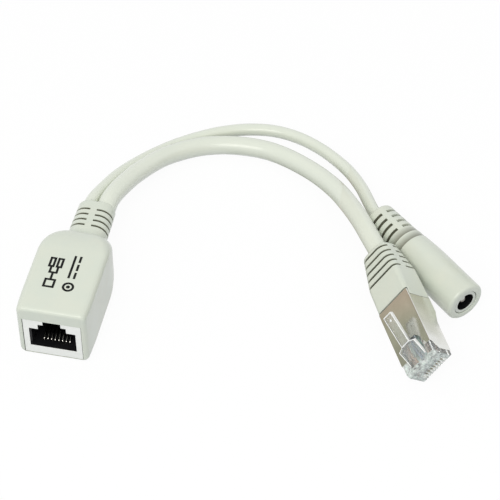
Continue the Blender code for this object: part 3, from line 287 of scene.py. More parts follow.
def open_edit():
    """Go into edit mode on the active object, with all of its faces selected."""
    bpy.ops.object.mode_set(mode="EDIT")
    bpy.ops.mesh.select_mode(type="FACE")
    bpy.ops.mesh.select_all(action="SELECT")


def close_edit():
    """Turn all faces outward and leave edit mode."""
    bpy.ops.mesh.select_all(action="SELECT")
    bpy.ops.mesh.normals_make_consistent(inside=False)
    bpy.ops.object.mode_set(mode="OBJECT")


def section(half_width, half_height, radius, centre_z=0.0, arc_steps=10, side_steps=4):
    """Points (x, z) round a rectangle with arc corners; every section has the same count of points."""
    radius = min(radius, half_width, half_height)
    points = []
    centres = [Vector((side * (half_width - radius), centre_z + rise * (half_height - radius)))
               for side, rise in ((1, -1), (1, 1), (-1, 1), (-1, -1))]
    for corner, centre in enumerate(centres):
        start = math.radians(-90 + 90 * corner)
        for step in range(arc_steps + 1):
            angle = start + math.pi / 2 * step / arc_steps
            points.append(centre + radius * Vector((math.cos(angle), math.sin(angle))))
        turn = start + math.pi / 2
        near, far = points[-1], centres[(corner + 1) % 4] + radius * Vector((math.cos(turn), math.sin(turn)))
        points += [near.lerp(far, step / side_steps) for step in range(1, side_steps)]
    return points


def rounding(width, steps):
    """The steps of a rounded edge of this width: how far along and how far inward each one is."""
    angles = [math.pi / 2 * step / steps for step in range(steps + 1)]
    return [(width * (1 - math.cos(angle)), width * (1 - math.sin(angle))) for angle in angles]


def extruded_form(name, rings):
    """A closed form: a filled outline is extruded once for each ring and shaped to it."""
    bpy.ops.mesh.primitive_circle_add(vertices=len(rings[0]), fill_type="NGON")
    piece = bpy.context.object
    piece.name = name
    open_edit()
    work = bmesh.from_edit_mesh(piece.data)
    number = work.verts.layers.int.new("number")
    for index, vert in enumerate(work.verts):
        vert[number] = index
    for index, ring in enumerate(rings):
        if index:
            bpy.ops.mesh.extrude_region_move()
        work = bmesh.from_edit_mesh(piece.data)
        number = work.verts.layers.int["number"]
        for vert in work.verts:
            if vert.select:
                vert.co = ring[vert[number]]
        bmesh.update_edit_mesh(piece.data)
    close_edit()
    return piece


def pick_faces(piece, chosen):
    """In edit mode, select the faces for which chosen(centre, normal) is true."""
    bpy.ops.mesh.select_mode(type="FACE")
    bpy.ops.mesh.select_all(action="DESELECT")
    work = bmesh.from_edit_mesh(piece.data)
    for face in work.faces:
        if chosen(face.calc_center_median(), face.normal):
            face.select_set(True)
    bmesh.update_edit_mesh(piece.data)


def in_rows(centre, normal, off_rib, rib, rows, width):
    """Whether a face lies on the outside of the form, beside the rib that is left, and in one of the rows."""
    return (abs(off_rib) > rib / 2 - 0.1 * MM and abs(normal.y) < 0.5
            and any(abs(centre.y - y) < width / 4 for y in rows))


def press_slots(piece, in_slot, depth, shade=lambda place, floor: float(floor)):
    """Push the faces of each slot straight in, as the mould's ribs do, and mark where shade is painted on the form.

    shade(place, floor) is 1 for the deepest painted shade; floor is true on the floor of a slot.
    """
    select_only(piece)
    piece.data.attributes.new("painted_slot_shade", "FLOAT", "POINT")
    bpy.ops.object.mode_set(mode="EDIT")
    pick_faces(piece, in_slot)
    bpy.ops.mesh.extrude_region_shrink_fatten(TRANSFORM_OT_shrink_fatten={"value": -depth})
    work = bmesh.from_edit_mesh(piece.data)
    painted_slot_shade = work.verts.layers.float["painted_slot_shade"]
    for vert in work.verts:
        vert[painted_slot_shade] = shade(vert.co, vert.select)
    bmesh.update_edit_mesh(piece.data)
    bpy.ops.object.mode_set(mode="OBJECT")


def finish_with(piece, kind, **values):
    """Add one modifier with these values and apply it."""
    select_only(piece)
    modifier = piece.modifiers.new(kind.lower(), kind)
    for label, value in values.items():
        setattr(modifier, label, value)
    bpy.ops.object.modifier_apply(modifier=modifier.name)


def block(place, size):
    """A box of this size round a place."""
    bpy.ops.mesh.primitive_cube_add(size=1, location=place)
    bpy.context.object.scale = size
    return settled()


def combine(piece, other, operation="DIFFERENCE"):
    """Take another object's shape out of a piece, or join it on, and remove that object."""
    finish_with(piece, "BOOLEAN", operation=operation, solver="EXACT", object=other)
    bpy.data.objects.remove(other, do_unlink=True)


def soft_edges(piece, width, segments=2, sharp=35.0, smooth=40.0):
    """Round the sharp edges as a mould leaves them, and shade the rest smooth."""
    finish_with(piece, "BEVEL", width=width, segments=segments, limit_method="ANGLE",
                angle_limit=math.radians(sharp), harden_normals=False)
    select_only(piece)
    bpy.ops.object.shade_smooth_by_angle(angle=math.radians(smooth))
    finish_with(piece, "WEIGHTED_NORMAL", weight=100, keep_sharp=True)


def housing_section(along):
    """The housing's section at a distance from its face."""
    if along <= BODY_LENGTH:
        swell = math.sin(min(1.0, along / SWELL_LENGTH) * math.pi / 2)
        half_width = (HOUSING_FRONT_WIDTH + (HOUSING_WIDTH - HOUSING_FRONT_WIDTH) * swell) / 2
        return half_width, HOUSING_HEIGHT / 2, HOUSING_CORNER
    if along < BODY_LENGTH + DOME_LENGTH:
        u = (along - BODY_LENGTH) / DOME_LENGTH
        half_width = NECK_WIDTH / 2 + (HOUSING_WIDTH - NECK_WIDTH) / 2 * (1 - u ** DOME_POWER) ** (1 / DOME_POWER)
        half_height = NECK_HEIGHT / 2 + (HOUSING_HEIGHT - NECK_HEIGHT) / 2 * (1 - u ** 2) ** 0.5
        return half_width, half_height, HOUSING_CORNER + DOME_CORNER_GAIN * u ** 1.2
    taper = NECK_TAPER * (along - BODY_LENGTH - DOME_LENGTH) / (NECK_END - NECK_Y)
    return (NECK_WIDTH - taper) / 2, (NECK_HEIGHT - taper) / 2, NECK_HEIGHT / 2


def housing_ring(along, inset=0.0):
    """The housing's outline at a distance from its face, drawn in by inset."""
    half_width, half_height, radius = housing_section(along)
    outline = section(half_width - inset, half_height - inset, max(radius - inset, 0.3 * MM), HOUSING_HEIGHT / 2)
    return [(x, FACE_Y + along, z) for x, z in outline]


housing_rings = [housing_ring(along, inward) for along, inward in rounding(HOUSING_FRONT_EDGE, 6)]
housing_rings += [housing_ring(along * MM) for along in (2, 3.5, 5, 6.5, 8, 13, 18, 23)]
housing_rings += [housing_ring(BODY_LENGTH + DOME_LENGTH * math.sin(math.pi / 2 * step / DOME_STEPS))
                  for step in range(1, DOME_STEPS)]
housing_rings.append(housing_ring(BODY_LENGTH + DOME_LENGTH + 0.01 * MM))
for y in NECK_SLOTS:
    housing_rings += [housing_ring(y + side * SLOT_WIDTH / 2 - FACE_Y) for side in (-1, 1)]
housing_rings += [housing_ring(NECK_END - FACE_Y - inward, along) for along, inward in rounding(NECK_EDGE, 4)]
housing = extruded_form("housing_sleeve", housing_rings)
press_slots(housing, lambda centre, normal: in_rows(centre, normal, centre.x, NECK_RIB, NECK_SLOTS, SLOT_WIDTH),
            SLOT_DEPTH)

INSERT_LOW, INSERT_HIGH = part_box("jack_insert")
POCKET_GAP = 0.15 * MM
POCKET_DEPTH = 22.2 * MM
combine(housing, block((0.0, FACE_Y, (INSERT_LOW.z + INSERT_HIGH.z) / 2),
                       (INSERT_HIGH.x - INSERT_LOW.x + 2 * POCKET_GAP, 2 * POCKET_DEPTH,
                        INSERT_HIGH.z - INSERT_LOW.z + 2 * POCKET_GAP)))
soft_edges(housing, 0.1 * MM, smooth=50.0)


def blend_over(material, share, colour):
    """Blend a colour over the one that a finish gives, by a share from the material's own nodes."""
    tree = material.node_tree
    base = tree.nodes["Principled BSDF"].inputs["Base Color"]
    tree.links.new(blend_colours(tree, share, base.links[0].from_socket, (*colour, 1.0)), base)
    return material


def paint_shade_in_slots(material, colour):
    """Paint shade into the slots and at the steps' feet: a dark colour blended over the moulded one by the marks that
    press_slots leaves.
    """
    painted_slot_shade = material.node_tree.nodes.new("ShaderNodeAttribute")
    painted_slot_shade.attribute_name = "painted_slot_shade"
    return blend_over(material, remap(material.node_tree, painted_slot_shade.outputs["Fac"], 0.0, 0.35), colour)


# The dark colour blended into the slots and at the steps' feet is painted shade.
SLEEVE = paint_shade_in_slots(moulded_material("pvc_sleeve", (0.665, 0.710, 0.615), (0.695, 0.725, 0.620),
                                        Coat_Weight=0.6, Coat_Roughness=0.2), (0.15, 0.15, 0.105))
dress(housing, SLEEVE, "soft_pvc", "socket_housing")


# Mark on the housing's top
# Black ink, pad-printed straight on the sleeve: two rows of plain signs that say what the opening carries.
# The first row is a network of three boxes, the second a socket's ring and dot with the sign for direct current.

INK_TOP = HOUSING_HIGH.z + 0.012 * MM
INK_DEPTH = 0.03 * MM
STROKE = 0.66 * MM
NETWORK_ROW = -3.0 * MM
CURRENT_ROW = 2.3 * MM
ROW_START = -15.6 * MM


def ink_bar(across, along, width, length):
    """One bar of ink between two places along the housing; across is the place of its middle."""
    bpy.ops.mesh.primitive_plane_add(size=1, location=(across, ROW_START + along + length / 2, INK_TOP))
    bpy.context.object.scale = (width, length, 1.0)
    return settled()


def ink_frame(across, along, width, length):
    """The four bars of a box; across and along are its middle and its near end."""
    inner = length - 2 * STROKE
    side = (width - STROKE) / 2
    return [ink_bar(across, along, width, STROKE), ink_bar(across, along + length - STROKE, width, STROKE),
            ink_bar(across - side, along + STROKE, STROKE, inner),
            ink_bar(across + side, along + STROKE, STROKE, inner)]


def ink_disc(across, along, radius, hole=0.0):
    """A disc round a place along the housing, or a ring where it has a hole."""
    bpy.ops.mesh.primitive_circle_add(vertices=36, radius=radius, fill_type="NGON",
                                      location=(across, ROW_START + along, INK_TOP))
    if hole:
        open_edit()
        bpy.ops.mesh.inset(thickness=radius - hole)
        bpy.ops.mesh.delete(type="FACE")
        bpy.ops.object.mode_set(mode="OBJECT")
    return settled()


BOX_START, BOX = 0.5 * MM, 3.2 * MM
FORK_START = 2.4 * MM + BOX
BRANCH, BRANCH_LENGTH = 0.95 * MM, 1.6 * MM
SMALL_BOX_START, SMALL_BOX, SMALL_BOX_LENGTH = 4.56 * MM + BOX, 1.8 * MM, 3.6 * MM
SMALL_BOX_OUT = BRANCH + 0.12 * MM
ink = ink_frame(NETWORK_ROW, BOX_START, BOX, BOX)
ink += [ink_bar(NETWORK_ROW, BOX_START + BOX, STROKE, FORK_START - BOX_START - BOX),
        ink_bar(NETWORK_ROW, FORK_START, 2 * BRANCH + STROKE, STROKE)]
for side in (-1, 1):
    ink.append(ink_bar(NETWORK_ROW + side * BRANCH, FORK_START + STROKE, STROKE, BRANCH_LENGTH))
    ink += ink_frame(NETWORK_ROW + side * SMALL_BOX_OUT, SMALL_BOX_START, SMALL_BOX, SMALL_BOX_LENGTH)

RING, DOT = 1.65 * MM, 0.55 * MM
LINE_START, LINE_LENGTH, LINES_APART = 4.7 * MM, 8.2 * MM, 1.5 * MM
DASH, DASH_PITCH = 2.3 * MM, 2.95 * MM
ink += [ink_disc(CURRENT_ROW, RING, RING, RING - STROKE), ink_disc(CURRENT_ROW, RING, DOT),
        ink_bar(CURRENT_ROW - LINES_APART / 2, LINE_START, STROKE, LINE_LENGTH)]
ink += [ink_bar(CURRENT_ROW + LINES_APART / 2, LINE_START + dash * DASH_PITCH, STROKE, DASH) for dash in range(3)]
select_only(*ink)
bpy.ops.object.join()
top_mark = bpy.context.object
top_mark.name = "top_mark"
open_edit()
bpy.ops.mesh.extrude_region_move(TRANSFORM_OT_translate={"value": (0.0, 0.0, -INK_DEPTH)})
close_edit()
INK = moulded_material("mark_ink", (0.008, 0.009, 0.008), (0.02, 0.021, 0.02), patch=1.2 * MM, grain=0.1 * MM,
                       gloss=(0.6, 0.75), bump=0.004 * MM, Specular_IOR_Level=0.1)
dress(top_mark, INK, "wire_black")


# Modular socket
# A white moulded insert held in the sleeve, with the stepped opening for a plug; behind its face, shade is painted
# black on it.
# The insert is the CAD's own solid, with its edges rounded as they leave the mould.

FACE_WHITE = (0.97, 0.975, 0.93)
FACE_SHADE = (0.93, 0.94, 0.89)
# Painted shade: the black deep in the modular socket's opening and in the barrel's bore.
PAINTED_CAVITY_SHADE = (0.008, 0.008, 0.009)


def cad_form(node, name, width, **edges):
    """A copy of a CAD solid with its triangles merged, its flat faces made whole and its edges rounded."""
    piece = bpy.data.objects.new(name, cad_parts[node].data.copy())
    bpy.context.scene.collection.objects.link(piece)
    select_only(piece)
    bpy.ops.mesh.customdata_custom_splitnormals_clear()
    open_edit()
    bpy.ops.mesh.remove_doubles(threshold=0.002 * MM)
    bpy.ops.mesh.dissolve_limited(angle_limit=math.radians(0.5))
    close_edit()
    soft_edges(piece, width, **edges)
    return piece


def build_depth_mask():
    """0 in front of a level along an axis and 1 behind it, for shade painted deep inside the sockets."""
    tree, given, result = effect_group("depth_mask", [("Place", "V"), ("Axis", "V"), ("Level", "F"), ("Blur", "F")],
                                       [("Mask", "F")])
    depth = tree.nodes.new("ShaderNodeVectorMath")
    depth.operation = "DOT_PRODUCT"
    tree.links.new(given.outputs["Place"], depth.inputs[0])
    tree.links.new(given.outputs["Axis"], depth.inputs[1])
    far = tree.nodes.new("ShaderNodeMath")
    tree.links.new(given.outputs["Level"], far.inputs[0])
    tree.links.new(given.outputs["Blur"], far.inputs[1])
    tree.links.new(remap(tree, depth.outputs["Value"], given.outputs["Level"], far.outputs["Value"]),
                   result.inputs["Mask"])
    return tree


DEPTH_MASK = build_depth_mask()


def paint_shade_behind(material, axis, level, colour, blur=0.06 * MM):
    """Paint shade on a material: its colour turns dark behind a level along an axis."""
    tree = material.node_tree
    mask = tree.nodes.new("ShaderNodeGroup")
    mask.node_tree = DEPTH_MASK
    tree.links.new(tree.nodes["Texture Coordinate"].outputs["Object"], mask.inputs["Place"])
    for label, value in (("Axis", axis), ("Level", level), ("Blur", blur)):
        mask.inputs[label].default_value = value
    return blend_over(material, mask.outputs["Mask"], colour)


insert = cad_form("jack_insert", "jack_socket", 0.13 * MM)
# Behind its face the insert's colour turns black: painted shade in the opening.
JACK_FACE = paint_shade_behind(moulded_material("jack_face", FACE_WHITE, FACE_SHADE, patch=4 * MM, grain=0.25 * MM,
                                         gloss=(0.3, 0.42), bump=0.006 * MM),
                        (0.0, 1.0, 0.0), INSERT_LOW.y + 0.1 * MM, PAINTED_CAVITY_SHADE)
dress(insert, JACK_FACE, "jack_plastic", "jack_insert")


# Spring contacts of the modular socket
# Eight phosphor bronze wires, plated, that curve up out of the socket's floor and glint in its dark mouth.
# One is rounded from the CAD's strip and copied across at the contacts' pitch.

PITCH = 1.016 * MM
WORN_PLATING = build_skin("worn_plating", 4.0, 0.55, 3.0)


def plated_material(name, colour, tarnish, cloud=2 * MM, grain=0.12 * MM, gloss=(0.14, 0.24), bump=0.003 * MM):
    """A plated metal, with soft clouds of tarnish and fine drawn scratches."""
    return skin_material(name, WORN_PLATING, colour, tarnish, cloud, grain, gloss, bump, {"Metallic": 1.0})


def row_of_eight(node, name, step, material, width, **edges):
    """Eight of a CAD form: the first and seven copies with their own meshes, each a step further on."""
    row = [cad_form(f"{node}_1", f"{name}_1", width, **edges)]
    for number in range(2, 9):
        select_only(row[0])
        bpy.ops.object.duplicate()
        bpy.context.object.name = f"{name}_{number}"
        bpy.ops.transform.translate(value=(number - 1) * step)
        row.append(settled())
    for number, piece in enumerate(row, 1):
        dress(piece, material, "gold_plate", f"{node}_{number}")
    return row


# Behind the contacts' bend their plating is painted dark: painted shade deep in the opening.
SHADED_SPRING_PLATE = paint_shade_behind(plated_material("spring_plate_painted_shade", (0.68, 0.66, 0.62), (0.52, 0.50, 0.45)), (0.0, 1.0, 0.0),
                           INSERT_LOW.y + 3.4 * MM, (0.045, 0.043, 0.038), 1.4 * MM)
GOLD_PLATE = plated_material("gold_plate", (0.60, 0.53, 0.38), (0.44, 0.38, 0.26))
row_of_eight("jack_contact", "jack_spring", Vector((PITCH, 0.0, 0.0)), SHADED_SPRING_PLATE, 0.1 * MM, segments=3)


# Inside of the socket housing
# The carrier that holds the contacts' tails, two data pairs, and the two leads and links of the power pair.
# None of it is seen from outside; each keeps the CAD's form and gets the finish of the real piece.

CARRIER = moulded_material("carrier_plastic", FACE_WHITE, FACE_SHADE, patch=3 * MM, grain=0.25 * MM)
TINNED = plated_material("tinned_copper", (0.78, 0.66, 0.56), (0.70, 0.50, 0.38), cloud=1 * MM, gloss=(0.28, 0.4))
WIRE_COLOURS = {
    "white_orange": ((0.88, 0.84, 0.79), (0.86, 0.62, 0.48)), "orange": ((0.80, 0.50, 0.32), (0.76, 0.44, 0.27)),
    "white_green": ((0.80, 0.87, 0.83), (0.42, 0.68, 0.58)), "blue": ((0.30, 0.46, 0.64), (0.25, 0.40, 0.58)),
    "white_blue": ((0.80, 0.85, 0.88), (0.42, 0.58, 0.74)), "green": ((0.26, 0.56, 0.48), (0.22, 0.50, 0.42)),
    "white_brown": ((0.84, 0.79, 0.74), (0.60, 0.46, 0.38)), "brown": ((0.42, 0.29, 0.22), (0.36, 0.24, 0.18)),
    "red": ((0.52, 0.05, 0.04), (0.46, 0.04, 0.03)), "black": ((0.03, 0.03, 0.03), (0.05, 0.05, 0.05)),
}
WIRE_SKINS = {name: moulded_material("wire_" + name, first, second, patch=1.4 * MM, grain=0.3 * MM,
                                     gloss=(0.34, 0.46), bump=0.006 * MM)
              for name, (first, second) in WIRE_COLOURS.items()}
PAIR_ORDER = ("white_orange", "orange", "white_green", "blue", "white_blue", "green", "white_brown", "brown")
LEAD_COLOURS = {"positive": "red", "negative": "black"}


def finish_node(node, material):
    """Give a CAD node that stays its real finish."""
    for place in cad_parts[node].material_slots:
        place.material = material


finish_node("contact_carrier", CARRIER)
for number in (1, 2, 3, 6):
    finish_node(f"data_wire_{number}", WIRE_SKINS[PAIR_ORDER[number - 1]])
for pole, colour in LEAD_COLOURS.items():
    finish_node("power_lead_" + pole, WIRE_SKINS[colour])
    finish_node("power_socket_lead_" + pole, WIRE_SKINS[colour])
    finish_node("power_link_" + pole, TINNED)


# Boot of the data plug
# Soft PVC moulded over the plug's rear and the cable: square at the plug, oval at the cable, five rows of slots.
# Modelled in the plug's own frame, nose at y = 0 and +Y to the cable, then laid on its corner as it rests.

PLUG_PLACE = Matrix.Translation(Vector((99.3, -12.5, 7.0)) * MM) @ Euler(
    (math.radians(2.8), math.radians(-53.9), math.radians(28.9)), "YXZ").to_matrix().to_4x4()
BOOT_FRONT = 20.0 * MM
BOOT_LENGTH = 20.7 * MM
BOOT_STRAIGHT = 10.4 * MM
BOOT_WIDTH = 12.2 * MM
BOOT_TOP = 3.5 * MM
BOOT_BELLY = 5.0 * MM
BOOT_REAR_WIDTH = 9.6 * MM
BOOT_REAR_HEIGHT = 7.6 * MM
BOOT_CABLE_Z = -0.7 * MM
BOOT_RIB = 1.8 * MM
BOOT_RIB_RISE = 0.9 * MM
BOOT_SIDE_STEPS = 12
BOOT_FIRST_SLOT = BOOT_FRONT + 10.8 * MM
BOOT_SLOT_PITCH = 2.1 * MM
BOOT_SLOTS = [BOOT_FIRST_SLOT + row * BOOT_SLOT_PITCH for row in range(5)]
BOOT_RIM = 0.3 * MM
BOOT_END_EDGE = 0.7 * MM
SHELL_WIDTH = 12.0 * MM
SHELL_TOP = 3.55 * MM
SHELL_BELLY = 4.85 * MM
SHELL_SEAT = 2.3 * MM            # the shell goes this far into the boot


def boot_ring(along, inset=0.0):
    """The boot's section at a distance from its front, drawn in by inset."""
    u = max(0.0, (along - BOOT_STRAIGHT) / (BOOT_LENGTH - BOOT_STRAIGHT))
    half_width = BOOT_WIDTH / 2 * (1 - u) + BOOT_REAR_WIDTH / 2 * u
    half_height = (BOOT_TOP + BOOT_BELLY) / 2 * (1 - u) + BOOT_REAR_HEIGHT / 2 * u
    centre_z = (BOOT_TOP - BOOT_BELLY) / 2 * (1 - u) + BOOT_CABLE_Z * u
    corner = (0.9 + 0.6 * min(1.0, along / BOOT_STRAIGHT)) * MM
    radius = corner * (1 - u) + BOOT_REAR_HEIGHT * 0.42 * u
    outline = section(half_width - inset, half_height - inset, max(radius - inset, 0.2 * MM), centre_z,
                      side_steps=BOOT_SIDE_STEPS)
    return [(x, BOOT_FRONT + along, z) for x, z in outline]


def lay_down(piece, place):
    """Move a piece from its own frame to where it rests, and apply that."""
    select_only(piece)
    piece.matrix_world = place
    settled()


def in_boot_slot(centre, normal):
    """Whether a face is pressed in; the boot's rib runs along its sides, a little above their middle."""
    off_rib = centre.z - (BOOT_TOP - BOOT_BELLY) / 2 - BOOT_RIB_RISE
    return in_rows(centre, normal, off_rib, BOOT_RIB, BOOT_SLOTS, SLOT_WIDTH)


boot_rings = [boot_ring(along, inward) for along, inward in rounding(BOOT_RIM, 3)]
boot_rings += [boot_ring(along * MM) for along in (1.5, 3, 4.5, 6, 7.5, 9, 10.4)]
for y in BOOT_SLOTS:
    boot_rings += [boot_ring(y + side * SLOT_WIDTH / 2 - BOOT_FRONT) for side in (-1, 1)]
boot_rings += [boot_ring(BOOT_LENGTH - inward, along) for along, inward in rounding(BOOT_END_EDGE, 4)]
boot = extruded_form("plug_boot_sleeve", boot_rings)
press_slots(boot, in_boot_slot, SLOT_DEPTH)
combine(boot, block((0.0, BOOT_FRONT, (SHELL_TOP - SHELL_BELLY) / 2),
                    (SHELL_WIDTH, 2 * SHELL_SEAT, SHELL_TOP + SHELL_BELLY)))
soft_edges(boot, 0.06 * MM, smooth=50.0)
lay_down(boot, PLUG_PLACE)
dress(boot, SLEEVE, "soft_pvc", "plug_boot")


# Shield of the data plug
# Thin nickel plated sheet, stamped and folded round the clear body, cut back at the latch and at the comb.
# The CAD's shell gets the small rolled edges of a stamping.

NICKEL = (0.80, 0.80, 0.77)
NICKEL_DULL = (0.72, 0.72, 0.67)
shield = cad_form("plug_shield", "plug_shell", 0.04 * MM, sharp=50.0)
NICKEL_PLATE = plated_material("nickel_plate", NICKEL, NICKEL_DULL, cloud=5 * MM, grain=0.6 * MM,
                               gloss=(0.11, 0.2), bump=0.006 * MM)
dress(shield, NICKEL_PLATE, "nickel_plate", "plug_shield")


# Clear body of the data plug
# One clear moulding: the nose with its comb, the wire channels and the sprung latch.
# The CAD's own form with its edges rounded, so that they catch the light as the real ones do.

plug_body = cad_form("plug_body", "plug_clear_body", 0.12 * MM, sharp=28.0)
CLEAR_PLASTIC, clear, clear_shader = new_material("clear_plastic")
clear_shader.inputs["Transmission Weight"].default_value = 0.88
clear_shader.inputs["IOR"].default_value = 1.5
clear_place = clear.nodes.new("ShaderNodeTexCoord").outputs["Object"]
clouding = noise_node(clear, clear_place, 1.5 * MM, 3.0)
clear.links.new(blend_colours(clear, spread(clear, clouding, 0.0, 1.0), (0.99, 0.995, 0.985, 1.0),
                              (0.955, 0.975, 0.96, 1.0)), clear_shader.inputs["Base Color"])
clear.links.new(spread(clear, clouding, 0.03, 0.12), clear_shader.inputs["Roughness"])
ripple(clear, clear_shader, noise_node(clear, clear_place, 0.8 * MM), 0.01 * MM)
dress(plug_body, CLEAR_PLASTIC, "clear_plastic", "plug_body")

NOSE_TOP = 3.2 * MM
TO_PLUG = PLUG_PLACE.inverted()
# White lines along and across the latch, on its side faces, on the comb's teeth and a pip near its tip are painted
# highlights where the clear moulding's edges shine.
PAINTED_HIGHLIGHT = moulded_material("painted_edge_highlight", (0.99, 0.995, 0.975), (0.95, 0.96, 0.94), patch=1 * MM, grain=0.1 * MM,
                           gloss=(0.25, 0.4), bump=0.004 * MM, Coat_Weight=0.6, Coat_Roughness=0.1)
# A whitish film on the nose: partly the clear moulding's own haze, partly painted light, the brightness the clear nose
# shows.
HAZE_AND_PAINTED_LIGHT = moulded_material("clear_haze_and_painted_light", (0.96, 1.0, 0.96), (0.82, 0.92, 0.85), patch=0.9 * MM, grain=0.1 * MM,
                        gloss=(0.1, 0.3), bump=0.006 * MM)
haze = HAZE_AND_PAINTED_LIGHT.node_tree
haze_clouds = noise_node(haze, haze.nodes["Texture Coordinate"].outputs["Object"], 1.1 * MM, roughness=0.55)
haze.links.new(spread(haze, haze_clouds, 0.08, 0.85), haze.nodes["Principled BSDF"].inputs["Alpha"])


def highlight_bar(start, end, width, depth):
    """A bar between two places in the plug's frame, in millimetres, painted white as a highlight where the moulding's
    edge shines.
    """
    start, end = Vector(start) * MM, Vector(end) * MM
    bar = block((0.0, 0.0, 0.0), ((end - start).length, width, depth))
    turn = (end - start).to_track_quat("X", "Z").to_matrix().to_4x4()
    lay_down(bar, PLUG_PLACE @ Matrix.Translation((start + end) / 2) @ turn)
    return bar


def skin_over_plug(name, chosen, thickness, material, *joined):
    """A thin skin on the clear body where chosen(place, normal), in the plug's frame, with pieces joined to it."""
    select_only(plug_body)
    bpy.ops.object.mode_set(mode="EDIT")
    pick_faces(plug_body, lambda centre, normal: chosen(TO_PLUG @ centre, TO_PLUG.to_3x3() @ normal))
    bpy.ops.mesh.duplicate()
    bpy.ops.mesh.separate(type="SELECTED")
    bpy.ops.object.mode_set(mode="OBJECT")
    skin = next(piece for piece in bpy.context.selected_objects if piece is not plug_body)
    skin.name = name
    for label in [label for label in skin.keys() if label.startswith("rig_")]:
        del skin[label]
    finish_with(skin, "SOLIDIFY", thickness=thickness, offset=1.0)
    if joined:
        select_only(skin, *joined)
        bpy.ops.object.join()
    dress(skin, material, "clear_plastic")
    return skin


LINE_DEPTH = 0.1 * MM
LATCH_ROOT_LINE = (1.5, 6.35, 5.97), 0.26 * MM       # a line across the latch: its right end, and its width
LATCH_TIP_LINE = (1.4, 15.8, 8.14), 0.24 * MM
LATCH_SIDE_LINES = [((1.42, 6.4, 5.98), (1.38, 15.8, 8.14)), ((2.95, 5.67, 5.82), (1.5, 6.25, 5.95)),
                    ((2.95, 1.7, 3.50), (2.95, 5.67, 5.82))]
LEFT_LINE_WIDTH, RIGHT_LINE_WIDTH = 0.17 * MM, 0.22 * MM
TOOTH_LINE_WIDTH, TOOTH_LINE_DEPTH = 0.42 * MM, 0.06 * MM
PIP_RADIUS = 0.32 * MM
PIP_PLACE = Vector((0.1, 14.1, 7.72)) * MM
# Bars that carry painted highlights along and across the latch and on the comb's teeth.
bright_bars = [highlight_bar((-end[0], *end[1:]), end, width, LINE_DEPTH)
               for end, width in (LATCH_ROOT_LINE, LATCH_TIP_LINE)]
bright_bars += [highlight_bar((side * start[0], *start[1:]), (side * end[0], *end[1:]), width, LINE_DEPTH)
                for side, width in ((-1, LEFT_LINE_WIDTH), (1, RIGHT_LINE_WIDTH)) for start, end in LATCH_SIDE_LINES]
bright_bars += [highlight_bar((x, -0.01, -2.7), (x, -0.01, -0.4), TOOTH_LINE_WIDTH, TOOTH_LINE_DEPTH)
                for x in (tooth * PITCH / MM for tooth in range(-4, 5))]
# A small pip near the latch's tip, white as a painted glint.
bpy.ops.mesh.primitive_uv_sphere_add(segments=16, ring_count=8, radius=PIP_RADIUS)
bpy.context.object.scale = (1.0, 1.3, 0.4)
latch_pip = settled()
lay_down(latch_pip, PLUG_PLACE @ Matrix.Translation(PIP_PLACE))
# A white skin on the latch's side faces: painted highlight.
bright_edges = skin_over_plug("plug_bright_edges", lambda place, normal: place.z > NOSE_TOP + 0.2 * MM
                              and abs(normal.z) < 0.6, 0.06 * MM, PAINTED_HIGHLIGHT, latch_pip, *bright_bars)
# The nose's film is partly haze, partly painted light.
nose_haze = skin_over_plug("plug_nose_haze", lambda place, normal: place.y < 0.9 * MM and normal.y < -0.3
                           or place.y < 5 * MM and 2.2 * MM < place.z < NOSE_TOP + 0.1 * MM and normal.z > 0.5,
                           0.04 * MM, HAZE_AND_PAINTED_LIGHT)


# Blades and conductors of the data plug
# Eight gold plated blades stand between the comb's teeth, each on one of eight coloured conductors.
# One blade is rounded from the CAD's stamping and copied across; the conductors run back into the cable.

PLUG_ACROSS = (PLUG_PLACE.to_3x3() @ Vector((1.0, 0.0, 0.0))) * PITCH
blades = row_of_eight("plug_contact", "plug_blade", PLUG_ACROSS, GOLD_PLATE, 0.06 * MM)

CONDUCTOR = 0.84 * MM
CHANNEL_Z = 0.5 * MM
BUNDLE = 1.4 * MM
for number, colour in enumerate(PAIR_ORDER, 1):
    across = (number - 4.5) * PITCH
    angle = math.radians(157.5 - 45 * ((number - 1) // 2))
    side = 1 if number % 2 else -1
    x, z = BUNDLE * math.cos(angle), BOOT_CABLE_Z + side * BUNDLE * math.sin(angle)
    route = [(across, 1.6 * MM, CHANNEL_Z), (across, 5 * MM, CHANNEL_Z), (across, 9 * MM, CHANNEL_Z),
             (across * 0.85 + x * 0.15, 12 * MM, BOOT_CABLE_Z + side * 0.9 * MM),
             (across * 0.35 + x * 0.65, 15 * MM, z + side * 0.3 * MM), (x, 18 * MM, z), (x, 24 * MM, z),
             (x, BOOT_FRONT + BOOT_LENGTH, z)]
    conductor = route_curve(f"plug_conductor_{number}", [PLUG_PLACE @ Vector(point) / MM for point in route],
                            CONDUCTOR, steps=6, roundness=4)
    dress(conductor, WIRE_SKINS[colour], "wire_" + colour, f"plug_wire_{number}")


# Sleeve of the power socket
# A turned form in soft PVC: a round barrel, two fine steps, and a slotted neck that the power cable enters.
# Modelled in the socket's own frame, opening at y = 0 and +Y to the cable.

